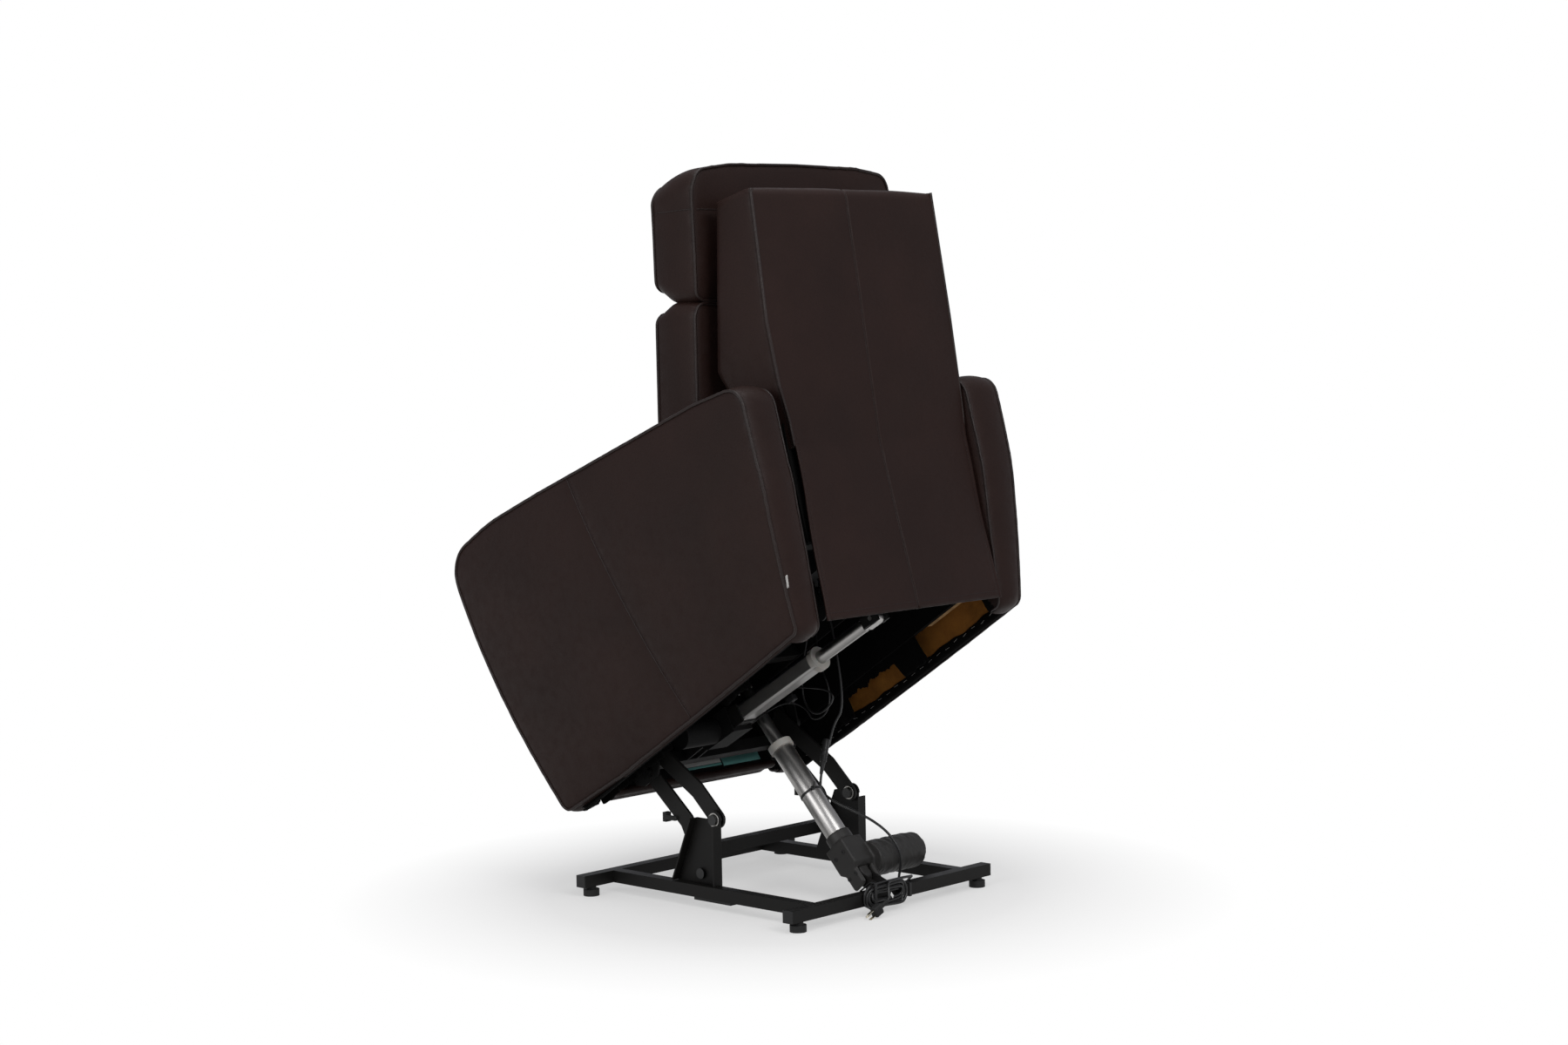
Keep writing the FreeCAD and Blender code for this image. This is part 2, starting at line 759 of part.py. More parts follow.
def bumper(name, mirror):
    # A rubber block on a stub that stands forward from the front link
    tip = named_point("bumper")
    stub = band([tip + point(size("bumper_length"), 0), tip], size("bumper_width") / 4)
    head = polygon([tip + point(-y, z) for y, z in (
        (0, -size("bumper_width") / 2), (0, size("bumper_width") / 2),
        (size("bumper_width") / 2, size("bumper_width") / 2), (size("bumper_width") / 2, -size("bumper_width") / 2))])
    return plate(name, [(stub, *across(LINK_OUT, f"{LINK_OUT} + 4", mirror)),
                        (head, *across(f"{LINK_IN} - 5", f"{LINK_OUT} + 4", mirror))])


node("link_bumpers", *sides("link_bumper", bumper), frame=BASE)


# Actuators

def ears(name, outline, x, slots=(), holes=()):
    # Two matching plates astride the lug of an actuator
    plates = []
    for word, sign in (("a", ""), ("b", "-")):
        inner, outer = "lug_width / 2 + ear_gap", "lug_width / 2 + ear_gap + ear_thickness"
        low, high = (f"{x} + {inner}", f"{x} + {outer}") if sign == "" else (f"{x} - ({outer})", f"{x} - ({inner})")
        plates.append(plate(f"{name}_{word}", [(outline, low, high)], slots=slots, holes=holes))
    return plates


def clevis():
    face = size("rail_spacing") / 2 - size("rail_size") / 2
    low, high = size("rail_top") - size("rail_size") + 1, size("rail_top")
    radius = size("lug_radius") - 1
    foot = lift_foot
    outline = [
        Part.LineSegment(point(face, low), point(face, high)),
        Part.LineSegment(point(face, high), foot + direction(70) * radius),
        Part.Arc(foot + direction(70) * radius, foot + direction(160) * radius, foot + direction(250) * radius),
        Part.LineSegment(foot + direction(250) * radius, point(face, low)),
    ]
    plates = ears("clevis_ear", outline, "lift_motor_x",
                  holes=[(foot, "actuator_pin_radius + pivot_clearance")])
    inner = "lug_width / 2 + ear_gap"
    web = box("clevis_web", (f"lift_motor_x - ({inner})", f"lift_motor_x + {inner}",
                             f"{REAR_RAIL_FACE} - ear_thickness", REAR_RAIL_FACE, f"{RAIL_BOTTOM} + 1", "rail_top"))
    node("lift_motor_clevis", fused("lift_motor_clevis", *plates, web), frame=BASE)


clevis()


def gearbox(name, end, frame, *motors):
    start, half = size("gearbox_start"), size("gearbox_depth") / 2
    corner = half / 3
    body_outline = polygon([
        point(-half + corner, start), point(half - corner, start), point(half, start + corner),
        point(half, end), point(-half, end), point(-half, start + corner),
    ])
    lug_outline = band([V(0, 0, 0), point(0, start + corner / 2)], size("lug_radius"))
    body = plate(name + "_case", [(lug_outline, "-lug_width / 2", "lug_width / 2"),
                                  (body_outline, "-gearbox_width / 2", "gearbox_width / 2")])
    whole = fused(name + "_whole", body, *motors) if motors else body
    bore = pin(name + "_bore", "actuator_pin_radius + pivot_clearance", "-gearbox_width", "gearbox_width",
               "0", "0")
    node(name, cut(name, whole, bore), frame=frame)


gearbox("lift_gearbox", size("lift_tube_start"), LIFT_AXIS)
gearbox("recline_gearmotor", size("recline_tube_start"), RECLINE_AXIS,
        pin("recline_motor", "recline_motor_radius", "gearbox_width / 2 - 1",
            "gearbox_width / 2 + recline_motor_length", "0", "recline_motor_offset"))


def lift_motor_can():
    y, z = "motor_setback", "gearbox_start + motor_offset"
    can = pin("motor_can", "motor_radius", "-gearbox_width / 2 - motor_length + 8", "-gearbox_width / 2", y, z)
    cap = pin("motor_cap", "motor_radius - 6", "-gearbox_width / 2 - motor_length",
              "-gearbox_width / 2 - motor_length + 8", y, z)
    node("lift_motor_can", fused("lift_motor_can", can, cap), frame=LIFT_AXIS)


lift_motor_can()


def lift_tube():
    length = "lift_tube_end - lift_tube_start"
    base = ("0", "0", "lift_tube_start")
    tube = cut("lift_outer_tube", cylinder("lift_tube_skin", "lift_tube_radius", length, base),
               cylinder("lift_tube_bore", "lift_tube_radius - tube_wall", length, base))
    node("lift_outer_tube", tube, frame=LIFT_AXIS)


lift_tube()


def collar(name, tube_end, rod_radius, outer, recess, frame):
    # A pale end ring that wraps the tube's mouth and guides the rod
    start = f"{tube_end} - collar_length * 2 / 3"
    ring = cylinder(name + "_ring", outer, "collar_length", ("0", "0", start))
    bore = cylinder(name + "_bore", f"{rod_radius} + pivot_clearance", "collar_length", ("0", "0", start))
    node(name, cut(name, ring, bore, recess), frame=frame)


collar("lift_tube_collar", "lift_tube_end", "lift_rod_radius", "lift_tube_radius + collar_rim",
       cylinder("lift_collar_recess", "lift_tube_radius", "collar_length * 2 / 3",
                ("0", "0", "lift_tube_end - collar_length * 2 / 3")), LIFT_AXIS)


def rod(name, radius, start, length, frame):
    # A hollow rod with a cross lug and pin at its tip
    end = f"{length - size('neck_length')}"
    skin = cylinder(name + "_skin", radius, f"{end} - {start}", ("0", "0", start))
    bore = cylinder(name + "_bore", f"{radius} - tube_wall", f"{end} - {start} - 6", ("0", "0", start))
    lug = pin(name + "_lug", "lug_radius", "-lug_width / 2", "lug_width / 2", "0", str(length))
    neck = box(name + "_neck", ("-lug_width / 2", "lug_width / 2", "-lug_radius", "lug_radius",
                                f"{end} - 1", str(length)))
    half = "lug_width / 2 + ear_gap + ear_thickness + 1"
    tip = pin(name + "_tip", "actuator_pin_radius", f"-({half})", half, "0", str(length))
    node(name, fused(name, cut(name + "_tube", skin, bore), lug, neck, tip), frame=frame)


rod("lift_inner_tube", "lift_rod_radius", "lift_rod_start", LIFT_LENGTH, LIFT_AXIS)
rod("recline_inner_tube", "recline_rod_radius", "recline_rod_start", RECLINE_LENGTH, RECLINE_AXIS)


def recline_tube():
    half_w, half_h = "recline_tube_width / 2", "recline_tube_height / 2"
    spans = (f"-{half_w}", half_w, f"-{half_h}", half_h, "recline_tube_start", "recline_tube_end")
    skin = doc.addObject("Part::Fillet", "recline_tube_skin")
    skin.Base = box("recline_tube_blank", spans)
    corner = size("recline_tube_height") / 6
    skin.Edges = [(edge, corner, corner) for edge in (1, 3, 5, 7)]
    bore = cylinder("recline_tube_bore", "recline_tube_height / 2 - tube_wall",
                    "recline_tube_end - recline_tube_start", ("0", "0", "recline_tube_start"))
    node("recline_outer_tube", cut("recline_outer_tube", skin, bore), frame=RECLINE_AXIS)
    recess = box("recline_collar_recess", (f"-{half_w}", half_w, f"-{half_h}", half_h,
                                           "recline_tube_end - collar_length", "recline_tube_end"))
    collar("recline_tube_collar", "recline_tube_end", "recline_rod_radius",
           "recline_tube_width / 2 + collar_rim", recess, RECLINE_AXIS)


recline_tube()


# Steel chair frame

def side_plate(name, mirror):
    bottom, top, front = size("side_plate_bottom"), size("side_plate_top"), size("side_plate_front")
    lobe, rear = size("lobe_bottom"), back_pivot.y + size("bolt_head_radius") + 6
    outline = polygon([
        point(front, top), point(front, lobe + 14), point(front + 24, lobe), point(rear_pin.y + 2, lobe),
        point(rear_pin.y + 22, lobe + 22), point(rear_pin.y + 27, bottom), point(back_pivot.y - 32, bottom),
        point(rear, top - 8), point(rear, back_pivot.z + 8), point(rear - 10, back_pivot.z + 18),
        point(back_pivot.y - 10, back_pivot.z + 18), point(back_pivot.y - 45, top),
    ])
    close = "pivot_radius + pivot_clearance"
    holes = [(rear_pin, close), (front_pin, close), (back_pivot, close),
             (leg_pivot, "leg_tube_radius + pivot_clearance")]
    node(name, plate(name, [(outline, *across(PLATE_IN, PLATE_OUT, mirror))], holes=holes), frame=CHAIR)


sides("seat_side_plate", side_plate)


def back_pin(name, mirror):
    # The hinge pin of the backrest, with a shoulder that spaces the arm from the plate
    y, z = "back_pivot_y", "back_pivot_z"
    shank = pin(name + "_shank", "pivot_radius", *across(f"{PLATE_IN} - 6", f"{BACK_ARM_OUT}", mirror), y, z)
    space = "pivot_clearance"
    shoulder = pin(name + "_shoulder", "bolt_head_radius",
                   *across(f"{PLATE_OUT} + {space}", f"{BACK_ARM_IN} - {space}", mirror), y, z)
    head = pin(name + "_head", "bolt_head_radius", *across(f"{PLATE_IN} - 10", f"{PLATE_IN} - 6", mirror), y, z)
    return fused(name, shank, shoulder, head)


chair_pins = [
    pivot_bolt(f"{word}_bolt_{side}", centre, side == "right", PLATE_OUT, head)
    for word, centre, head in (("rear_pin", rear_pin, "pivot_clearance * 25"),
                               ("front_pin", front_pin, "bolt_head_height"))
    for side in ("left", "right")
]
chair_pins.append(foot_pin("recline_front_pin", "recline_motor_x", "recline_front_y", "recline_front_z"))
node("chair_pivot_pins", *chair_pins, *sides("back_pin", back_pin), frame=CHAIR)


def cross_rail(index, y):
    half = "cross_rail_size / 2"
    spans = (f"-({ARM_INNER}) + side_plate_inset", f"{ARM_INNER} - side_plate_inset", f"{y} - {half}", f"{y} + {half}",
             "side_plate_top", DECK_BOTTOM)
    return square_tube(f"cross_rail_{index}", spans, "x")


node("seat_cross_rails", *[
    cross_rail(i, y) for i, y in enumerate(("front_cross_rail_y", "middle_cross_rail_y", "rear_cross_rail_y"))
], frame=CHAIR)


def mount_tube(name, y, z):
    spans = (f"-({PLATE_IN})", PLATE_IN, y, f"{y} + cross_rail_size", z, f"{z} + cross_rail_size")
    return square_tube(name, spans, "x")


def recline_mount():
    centre, radius = recline_front, size("lug_radius") - 1
    back = size("recline_mount_y") + size("cross_rail_size")
    low = centre.z - size("cross_rail_size") / 2
    high = low + size("cross_rail_size")
    outline = [
        Part.LineSegment(point(back, high), point(back, low)),
        Part.LineSegment(point(back, low), centre + direction(270) * radius),
        Part.Arc(centre + direction(270) * radius, centre + direction(0) * radius, centre + direction(90) * radius),
        Part.LineSegment(centre + direction(90) * radius, point(back, high)),
    ]
    plates = ears("recline_ear", outline, "recline_motor_x",
                  holes=[(centre, "actuator_pin_radius + pivot_clearance")])
    tube = mount_tube("recline_mount_tube", "recline_mount_y", "recline_front_z - cross_rail_size / 2")
    node("recline_front_mount", fused("recline_front_mount", tube, *plates), frame=CHAIR)


recline_mount()


def lift_mount():
    # A tube between the side plates with two slotted ears for the tip of the lift rod
    start, end = lift_top_slot()
    gap = size("actuator_pin_radius") + size("open_clearance")
    tube_low = size("side_plate_bottom") + 2
    tube_y = lift_top.y - size("cross_rail_size") / 2
    rim = gap + 7
    lower, upper = sorted((start, end), key=lambda p: p.z)
    tangent = angle_of(upper - lower) - 90
    wide = [
        Part.LineSegment(point(lower.y - rim, tube_low), lower + direction(180) * rim),
        Part.Arc(lower + direction(180) * rim, lower + direction(90 + tangent) * -rim,
                 lower + direction(tangent) * rim),
        Part.LineSegment(lower + direction(tangent) * rim, upper + direction(tangent) * rim),
        Part.Arc(upper + direction(tangent) * rim, upper + direction(tangent / 2) * rim,
                 upper + direction(0) * rim),
        Part.LineSegment(upper + direction(0) * rim, point(upper.y + rim, tube_low)),
        Part.LineSegment(point(upper.y + rim, tube_low), point(lower.y - rim, tube_low)),
    ]
    plates = ears("lift_ear", wide, "lift_motor_x", slots=[slot(start, end, gap)])
    spans = (f"-({PLATE_IN})", PLATE_IN, f"{tube_y}", f"{tube_y} + cross_rail_size", f"{tube_low}",
             f"{tube_low} + cross_rail_size")
    tube = square_tube("lift_mount_tube", spans, "x")
    node("lift_top_mount", fused("lift_top_mount", tube, *plates), frame=CHAIR)


lift_mount()
node("seat_deck", box("seat_deck", ("-seat_half_width", "seat_half_width", "deck_front", "deck_rear",
                                    DECK_BOTTOM, f"{DECK_BOTTOM} + deck_thickness")), frame=CHAIR)
node("control_box", box("control_box", ("control_box_x - control_box_width", "control_box_x", "control_box_y",
                                       "control_box_y + control_box_length", f"{DECK_BOTTOM} - control_box_height",
                                       DECK_BOTTOM)), frame=CHAIR)


# Backrest frame

def back_hinge_arms():
    radius = size("back_arm_width") / 2
    low = point(back_pivot.y + 8, size("back_rail_z") + radius)
    high = back_pivot + direction(40) * 172
    front, rear = size("back_rail_y"), size("back_rail_y") + size("back_rail_thickness")
    bottom, top = size("back_rail_z"), size("back_rail_z") + size("back_rail_height")
    holes = [(back_pivot, "pivot_radius + pivot_clearance"), (push_rear, "leg_pin_radius + pivot_clearance")]
    arms = []
    for word, mirror in (("left", False), ("right", True)):
        span = across(BACK_ARM_IN, BACK_ARM_OUT, mirror)
        lower = plate(f"back_arm_lower_{word}", [(band([back_pivot, low], radius), *span)], holes=holes)
        upper = plate(f"back_arm_upper_{word}", [(band([back_pivot, high], radius), *span)], holes=holes[:1])
        arms += [lower, upper]
    rail = box("back_arm_rail", (f"-({BACK_ARM_IN})", BACK_ARM_IN, f"{front}", f"{rear}", f"{bottom}", f"{top}"))
    hole_x = "recline_motor_x - 125"
    rail_hole = doc.addObject("Part::Cylinder", "rail_hole")
    rail_hole.Placement.Rotation = FreeCAD.Rotation(V(1, 0, 0), -90)
    bind(rail_hole, "Radius", "pivot_radius")
    bind(rail_hole, "Height", "back_rail_thickness + 2")
    for axis, text in zip("xyz", (hole_x, f"{front} - 1", f"{(bottom + top) / 2}")):
        bind(rail_hole, f"Placement.Base.{axis}", text)
    start, end = recline_rear_slot()
    gap = size("actuator_pin_radius") + size("open_clearance")
    rim = gap + 6
    low_end, high_end = sorted((start, end), key=lambda p: p.z)
    outline = [
        Part.LineSegment(point(front, low_end.z - rim), low_end + direction(270) * rim),
        Part.Arc(low_end + direction(270) * rim, low_end + direction(225) * rim, low_end + direction(180) * rim),
        Part.LineSegment(low_end + direction(180) * rim, high_end + direction(180) * rim),
        Part.Arc(high_end + direction(180) * rim, high_end + direction(135) * rim, high_end + direction(90) * rim),
        Part.LineSegment(high_end + direction(90) * rim, point(front, high_end.z + rim)),
        Part.LineSegment(point(front, high_end.z + rim), point(front, low_end.z - rim)),
    ]
    plates = ears("back_ear", outline, "recline_motor_x", slots=[slot(start, end, gap)])
    node("back_hinge_arms", fused("back_hinge_arms", *arms, cut("back_rail", rail, rail_hole), *plates),
         frame=CHAIR)


back_hinge_arms()

PIPING = point(size("back_piping_y"), size("back_piping_z"))
BACK_UP = direction(90 - size("back_lean"))
BACK_FORWARD = direction(180 - size("back_lean"))


def back_point(up, forward):
    return PIPING + BACK_UP * up + BACK_FORWARD * forward


shell_bottom = named_point("shell_bottom")
shell_knee = named_point("shell_knee")
shell_top = named_point("shell_top")
shell_front_top = back_point(-size("shell_front_start"), -size("back_shell_gap"))
shell_front_low = back_point(-size("shell_front_end"), -size("back_shell_gap"))
shell_cheek_low = named_point("shell_cheek")


def offset_line(points, distance):
    # The path shifted to its left by a distance, with mitred corners
    shifted = []
    for index, p in enumerate(points):
        before = p - points[index - 1] if index > 0 else points[1] - p
        after = points[index + 1] - p if index < len(points) - 1 else before
        before.normalize()
        after.normalize()
        side_a, side_b = turned(before, 90), turned(after, 90)
        mitre = side_a + side_b
        shifted.append(p + mitre * (distance / (1 + side_a.dot(side_b))))
    return shifted


def back_shell():
    path = [shell_bottom, shell_knee, shell_top, shell_front_top]
    inner = offset_line(path, size("back_shell_wall"))
    skin = polygon(path + inner[::-1])
    cheek = polygon([shell_knee, shell_top, shell_front_top, shell_front_low, shell_cheek_low])
    half, wall = f"({BACK_SHELL_HALF})", "back_shell_wall"
    body = plate("back_shell", [(skin, f"-{half}", half), (cheek, f"-{half}", f"-{half} + {wall}"),
                                (cheek, f"{half} - {wall}", half)])
    node("back_shell", body, frame=CHAIR)


back_shell()


def back_frame():
    # Two wooden posts on the hinge arms, joined by three wooden rails
    width = size("back_post_width")
    line = offset_line([shell_knee, shell_top], size("back_shell_wall") + 0.3)
    top = line[1] + (line[0] - line[1]) * 0.1
    foot_z = size("back_post_foot_z")
    foot = point(line[0].y - (line[0].z - foot_z) * 0.312, foot_z)
    rear = [foot, line[0], top]
    front = offset_line(rear, width)
    outline = polygon(rear + front[::-1])
    wall, half = "back_shell_wall", f"({BACK_SHELL_HALF})"
    posts = [
        plate(f"back_post_{word}", [(outline, *across(BACK_ARM_OUT, f"{half} - {wall} - 1", mirror))])
        for word, mirror in (("left", False), ("right", True))
    ]
    rails = []
    for number, share in enumerate((0.2, 0.52, 0.85)):
        along = line[1] - line[0]
        centre = line[0] + along * share
        along.normalize()
        inward = turned(along, 90)
        a, b = centre - along * 22, centre + along * 22
        rails.append(plate(f"back_rail_{number}", [(polygon([a, b, b + inward * 20, a + inward * 20]),
                                                    f"-({BACK_ARM_OUT})", BACK_ARM_OUT)]))
    node("back_frame", *posts, *rails, frame=CHAIR)


back_frame()


# Upholstery

def closed_section(corners, top_rise, front_rise, x):
    # Back line, crowned top, bulged front and flat bottom, at one place across the chair
    low_back, top_back, top_front, low_front = [V(x, c.y, c.z) for c in corners]
    rise = (top_front - top_back)
    rise.normalize()
    up = turned(rise, -90)
    face = (top_front - low_front)
    face.normalize()
    out = turned(face, 90)
    crown = (top_back + top_front) / 2 + up * top_rise
    bulge = (top_front + low_front) / 2 + out * front_rise
    return Part.Wire([
        Part.makeLine(low_back, top_back),
        Part.Arc(top_back, crown, top_front).toShape(),
        Part.Arc(top_front, bulge, low_front).toShape(),
        Part.makeLine(low_front, low_back),
    ])


def cushion(name, corners, half_width, top_rise, front_rise, inset):
    # A sewn cushion: crowned between its side seams, with its ends drawn in
    centre = (corners[0] + corners[1] + corners[2] + corners[3]) / 4
    wires = []
    for share in (-1.0, -0.93, -0.55, 0.0, 0.55, 0.93, 1.0):
        fade = 1 - share ** 2
        draw = inset if abs(share) == 1.0 else inset * 0.3 * abs(share)
        pulled = []
        for corner, opposite in zip(corners, (corners[1], corners[0], centre, centre)):
            inward = opposite - corner
            inward.normalize()
            pulled.append(corner + inward * draw)
        crown = 2 + (top_rise - 2) * fade
        front = 2 + (front_rise - 2) * fade
        wires.append(closed_section(pulled, crown, front, share * half_width))
    return feature(name, Part.makeLoft(wires, True, True))


def seat_cushion():
    bottom = size("side_plate_top") + size("cross_rail_size") + size("deck_thickness") + 0.3
    front, rear = size("seat_front"), size("seat_rear")
    corners = [point(rear, bottom), point(rear, size("seat_rear_top")),
               point(front + 14, size("seat_front_top")), point(front + 6, bottom)]
    node("seat_cushion", cushion("seat_cushion", corners, size("seat_half_width"), size("seat_crown"), 8, 10),
         frame=CHAIR)


seat_cushion()


def back_cushion():
    top, bottom = -size("headrest_height") - size("pillow_gap"), -size("back_cushion_bottom")
    depth, behind = size("back_cushion_depth"), -size("back_shell_gap") + 0.4
    corners = [back_point(bottom, behind), back_point(top, behind), back_point(top, depth - 8),
               back_point(bottom, depth - 12)]
    half = size("seat_half_width") + size("back_cushion_overhang")
    whole = cushion("back_cushion_whole", corners, half, 2, 10, 12)
    notches = [
        box(f"back_notch_{word}", (*across("seat_half_width - 2", f"{half} + 10", mirror),
                                   "back_notch_y - back_notch_length", "back_notch_y",
                                   "back_notch_z - back_notch_height", "back_notch_z"))
        for word, mirror in (("left", False), ("right", True))
    ]
    node("back_cushion", cut("back_cushion", whole, *notches), frame=CHAIR)


back_cushion()


def headrest():
    depth, behind = size("back_cushion_depth") + 5, -size("back_shell_gap") + 0.4
    low = -size("headrest_height")
    top = size("headrest_top")
    corners = [back_point(low, behind), back_point(top, behind + 12), back_point(top - 16, depth - 16),
               back_point(low, depth - 4)]
    half = size("seat_half_width") + size("headrest_overhang")
    node("headrest", cushion("headrest", corners, half, size("headrest_crown"), 8, 12), frame=CHAIR)


headrest()


# How full the arm is at each of its sections
ARM_SECTIONS = {"rear": 0.75, "back": 1.0, "middle": 1.0, "nose": 0.95, "front": 0.75}


def arm_section(word, fullness):
    bottom, top = named_point(f"arm_{word}_low"), named_point(f"arm_{word}_high")
    inner = size("seat_half_width") + size("arm_clearance")
    low, high = inner + size("arm_bottom_width"), inner + size("arm_top_width")
    belly = size("arm_middle_width") - size("arm_top_width")
    up = top - bottom
    up.normalize()
    middle = bottom + (top - bottom) * 0.62
    corner_in, corner_out = V(inner, bottom.y, bottom.z), V(low, bottom.y, bottom.z)
    top_in, top_out = V(inner, top.y, top.z), V(high, top.y, top.z)
    crown = (top_in + top_out) / 2 + up * size("arm_crown") * 0.5 * fullness
    waist = V(high + belly * fullness, middle.y, middle.z)
    return Part.Wire([
        Part.makeLine(corner_in, top_in),
        Part.Arc(top_in, crown, top_out).toShape(),
        Part.Arc(top_out, waist, corner_out).toShape(),
        Part.makeLine(corner_out, corner_in),
    ])


def arm(name, mirror):
    shape = Part.makeLoft([arm_section(word, fullness) for word, fullness in ARM_SECTIONS.items()], True, True)
    if mirror:
        shape = shape.mirror(V(0, 0, 0), V(1, 0, 0))
    body = feature(name + "_body", shape)
    low, high = across(f"{ARM_INNER} + arm_board_thickness", ARM_HOLLOW_OUTER, mirror)
    hollow = box(name + "_hollow", (low, high, "arm_hollow_front", "arm_hollow_rear", "0", "arm_hollow_top"))
    inner, wall = across(f"{ARM_INNER} - 1", f"{ARM_INNER} + arm_board_thickness + 1", mirror)
    way_in = box(name + "_way_in", (inner, wall, "arm_hollow_front", "arm_hollow_rear", "0", "arm_inner_bottom"))
    tools = [hollow, way_in]
    if mirror:
        pocket = box("handset_pocket", (f"-({HANDSET_BACK}) - 60", f"-({HANDSET_BACK})",
                                        "handset_y - handset_width / 2 - 3", "handset_y + handset_width / 2 + 3",
                                        "handset_z - handset_length / 2", "handset_z + handset_length / 2 + 20"))
        tools.append(pocket)
    node(name, cut(name, body, *tools), frame=CHAIR)


HANDSET_BACK = f"{ARM_INNER} + arm_top_width - handset_depth + handset_sink"
sides("arm", arm)


def arm_board(name, mirror):
    low, high = across(f"{ARM_HOLLOW_OUTER} - arm_board_thickness", f"{ARM_HOLLOW_OUTER} - side_plate_inset", mirror)
    node(name, box(name, (low, high, "arm_hollow_front + 1", "arm_hollow_rear - 1", "arm_board_bottom",
                          "arm_hollow_top - side_plate_inset")), frame=CHAIR)


sides("arm_board", arm_board)


# Footrest

def push_slot(radius):
    # Where the front pin of the push rod lies in the crank at rest and at half travel
    rear_at_half = back_pivot + turned(push_rear - back_pivot, -size("recline_angle") / 2)
    opened = leg_pivot + turned(push_front - leg_pivot, CRANK_TURN)
    rod_turn = angle_of(opened - push_rear_reclined) - angle_of(push_front - push_rear)
    pin_at_half = rear_at_half + turned(push_front - push_rear, rod_turn / 2)
    return slot(push_front, leg_pivot + turned(pin_at_half - leg_pivot, -CRANK_TURN / 2), radius)


def leg_cranks():
    close = "leg_pin_radius + pivot_clearance"
    loose = size("leg_pin_radius") + size("push_clearance")
    parts = [pin("leg_torque_tube", "leg_tube_radius", f"-({BACK_ARM_IN})", BACK_ARM_IN, "leg_pivot_y",
                 "leg_pivot_z")]
    half = size("leg_link_width") / 2
    for word, mirror in (("left", False), ("right", True)):
        span = across(BACK_ARM_IN, BACK_ARM_OUT, mirror)
        long_arm = plate(f"leg_crank_{word}", [(band([leg_pivot, leg_elbow], half), *span)],
                         holes=[(leg_elbow, close)])
        short_arm = plate(f"leg_lever_{word}", [(band([leg_pivot, push_front], half), *span)],
                          slots=[push_slot(loose)])
        parts += [long_arm, short_arm]
    node("footrest_cranks", fused("footrest_cranks", *parts), frame=CHAIR)


def link_with_pins(name, path, pins):
    # A flat link on both sides of the chair, each with the pins it carries
    groups = []
    for word, mirror in (("left", False), ("right", True)):
        bar = plate(f"{name}_bar_{word}", [(band(path, size("leg_link_width") / 2), *across(PUSH_IN, PUSH_OUT, mirror))])
        studs = [
            pin(f"{name}_pin_{word}_{i}", "leg_pin_radius", *across(low, high, mirror), str(c.y), str(c.z))
            for i, (c, low, high) in enumerate(pins)
        ]
        groups.append(fused(f"{name}_{word}", bar, *studs))
    node(name, *groups, frame=CHAIR)


leg_cranks()
link_with_pins("footrest_links", [leg_elbow, leg_hinge],
               [(leg_elbow, BACK_ARM_IN, PUSH_IN), (leg_hinge, PUSH_OUT, LEG_HINGE_OUT)])
link_with_pins("footrest_push_rods", [push_rear, push_front],
               [(push_rear, BACK_ARM_IN, PUSH_IN), (push_front, BACK_ARM_IN, PUSH_IN)])


def leg_board():
    inner_face = leg_hinge.y - size("leg_hinge_setback")
    outer_face = inner_face - size("leg_board_thickness")
    half = "leg_board_half_width"
    board = box("leg_board", (f"-{half} + 8", f"{half} - 8", f"{outer_face}", f"{inner_face}",
                              "leg_board_bottom", "leg_board_top"))
    radius = size("leg_link_width") / 2 - 1
    outline = [
        Part.LineSegment(point(inner_face, leg_hinge.z - 30), leg_hinge + direction(-60) * radius),
        Part.Arc(leg_hinge + direction(-60) * radius, leg_hinge + direction(0) * radius,
                 leg_hinge + direction(60) * radius),
        Part.LineSegment(leg_hinge + direction(60) * radius, point(inner_face, leg_hinge.z + 30)),
        Part.LineSegment(point(inner_face, leg_hinge.z + 30), point(inner_face, leg_hinge.z - 30)),
    ]
    hinges = [
        plate(f"leg_board_hinge_{word}", [(outline, *across(LEG_HINGE_IN, LEG_HINGE_OUT, mirror))],
              holes=[(leg_hinge, "leg_pin_radius + pivot_clearance")])
        for word, mirror in (("left", False), ("right", True))
    ]
    node("footrest_board", fused("footrest_board", board, *hinges), frame=CHAIR)
    low, high = size("leg_board_bottom") - 2, size("leg_board_top") + 3
    thickness = size("leg_pad_thickness")
    corners = [point(outer_face - 0.3, low), point(outer_face - 0.3, high),
               point(outer_face - thickness + 8, high - 6), point(outer_face - thickness + 8, low + 6)]
    node("footrest_pad", cushion("footrest_pad", corners, size(half), 2, 8, 8), frame=CHAIR)


leg_board()


# Handset in the pocket of the right arm

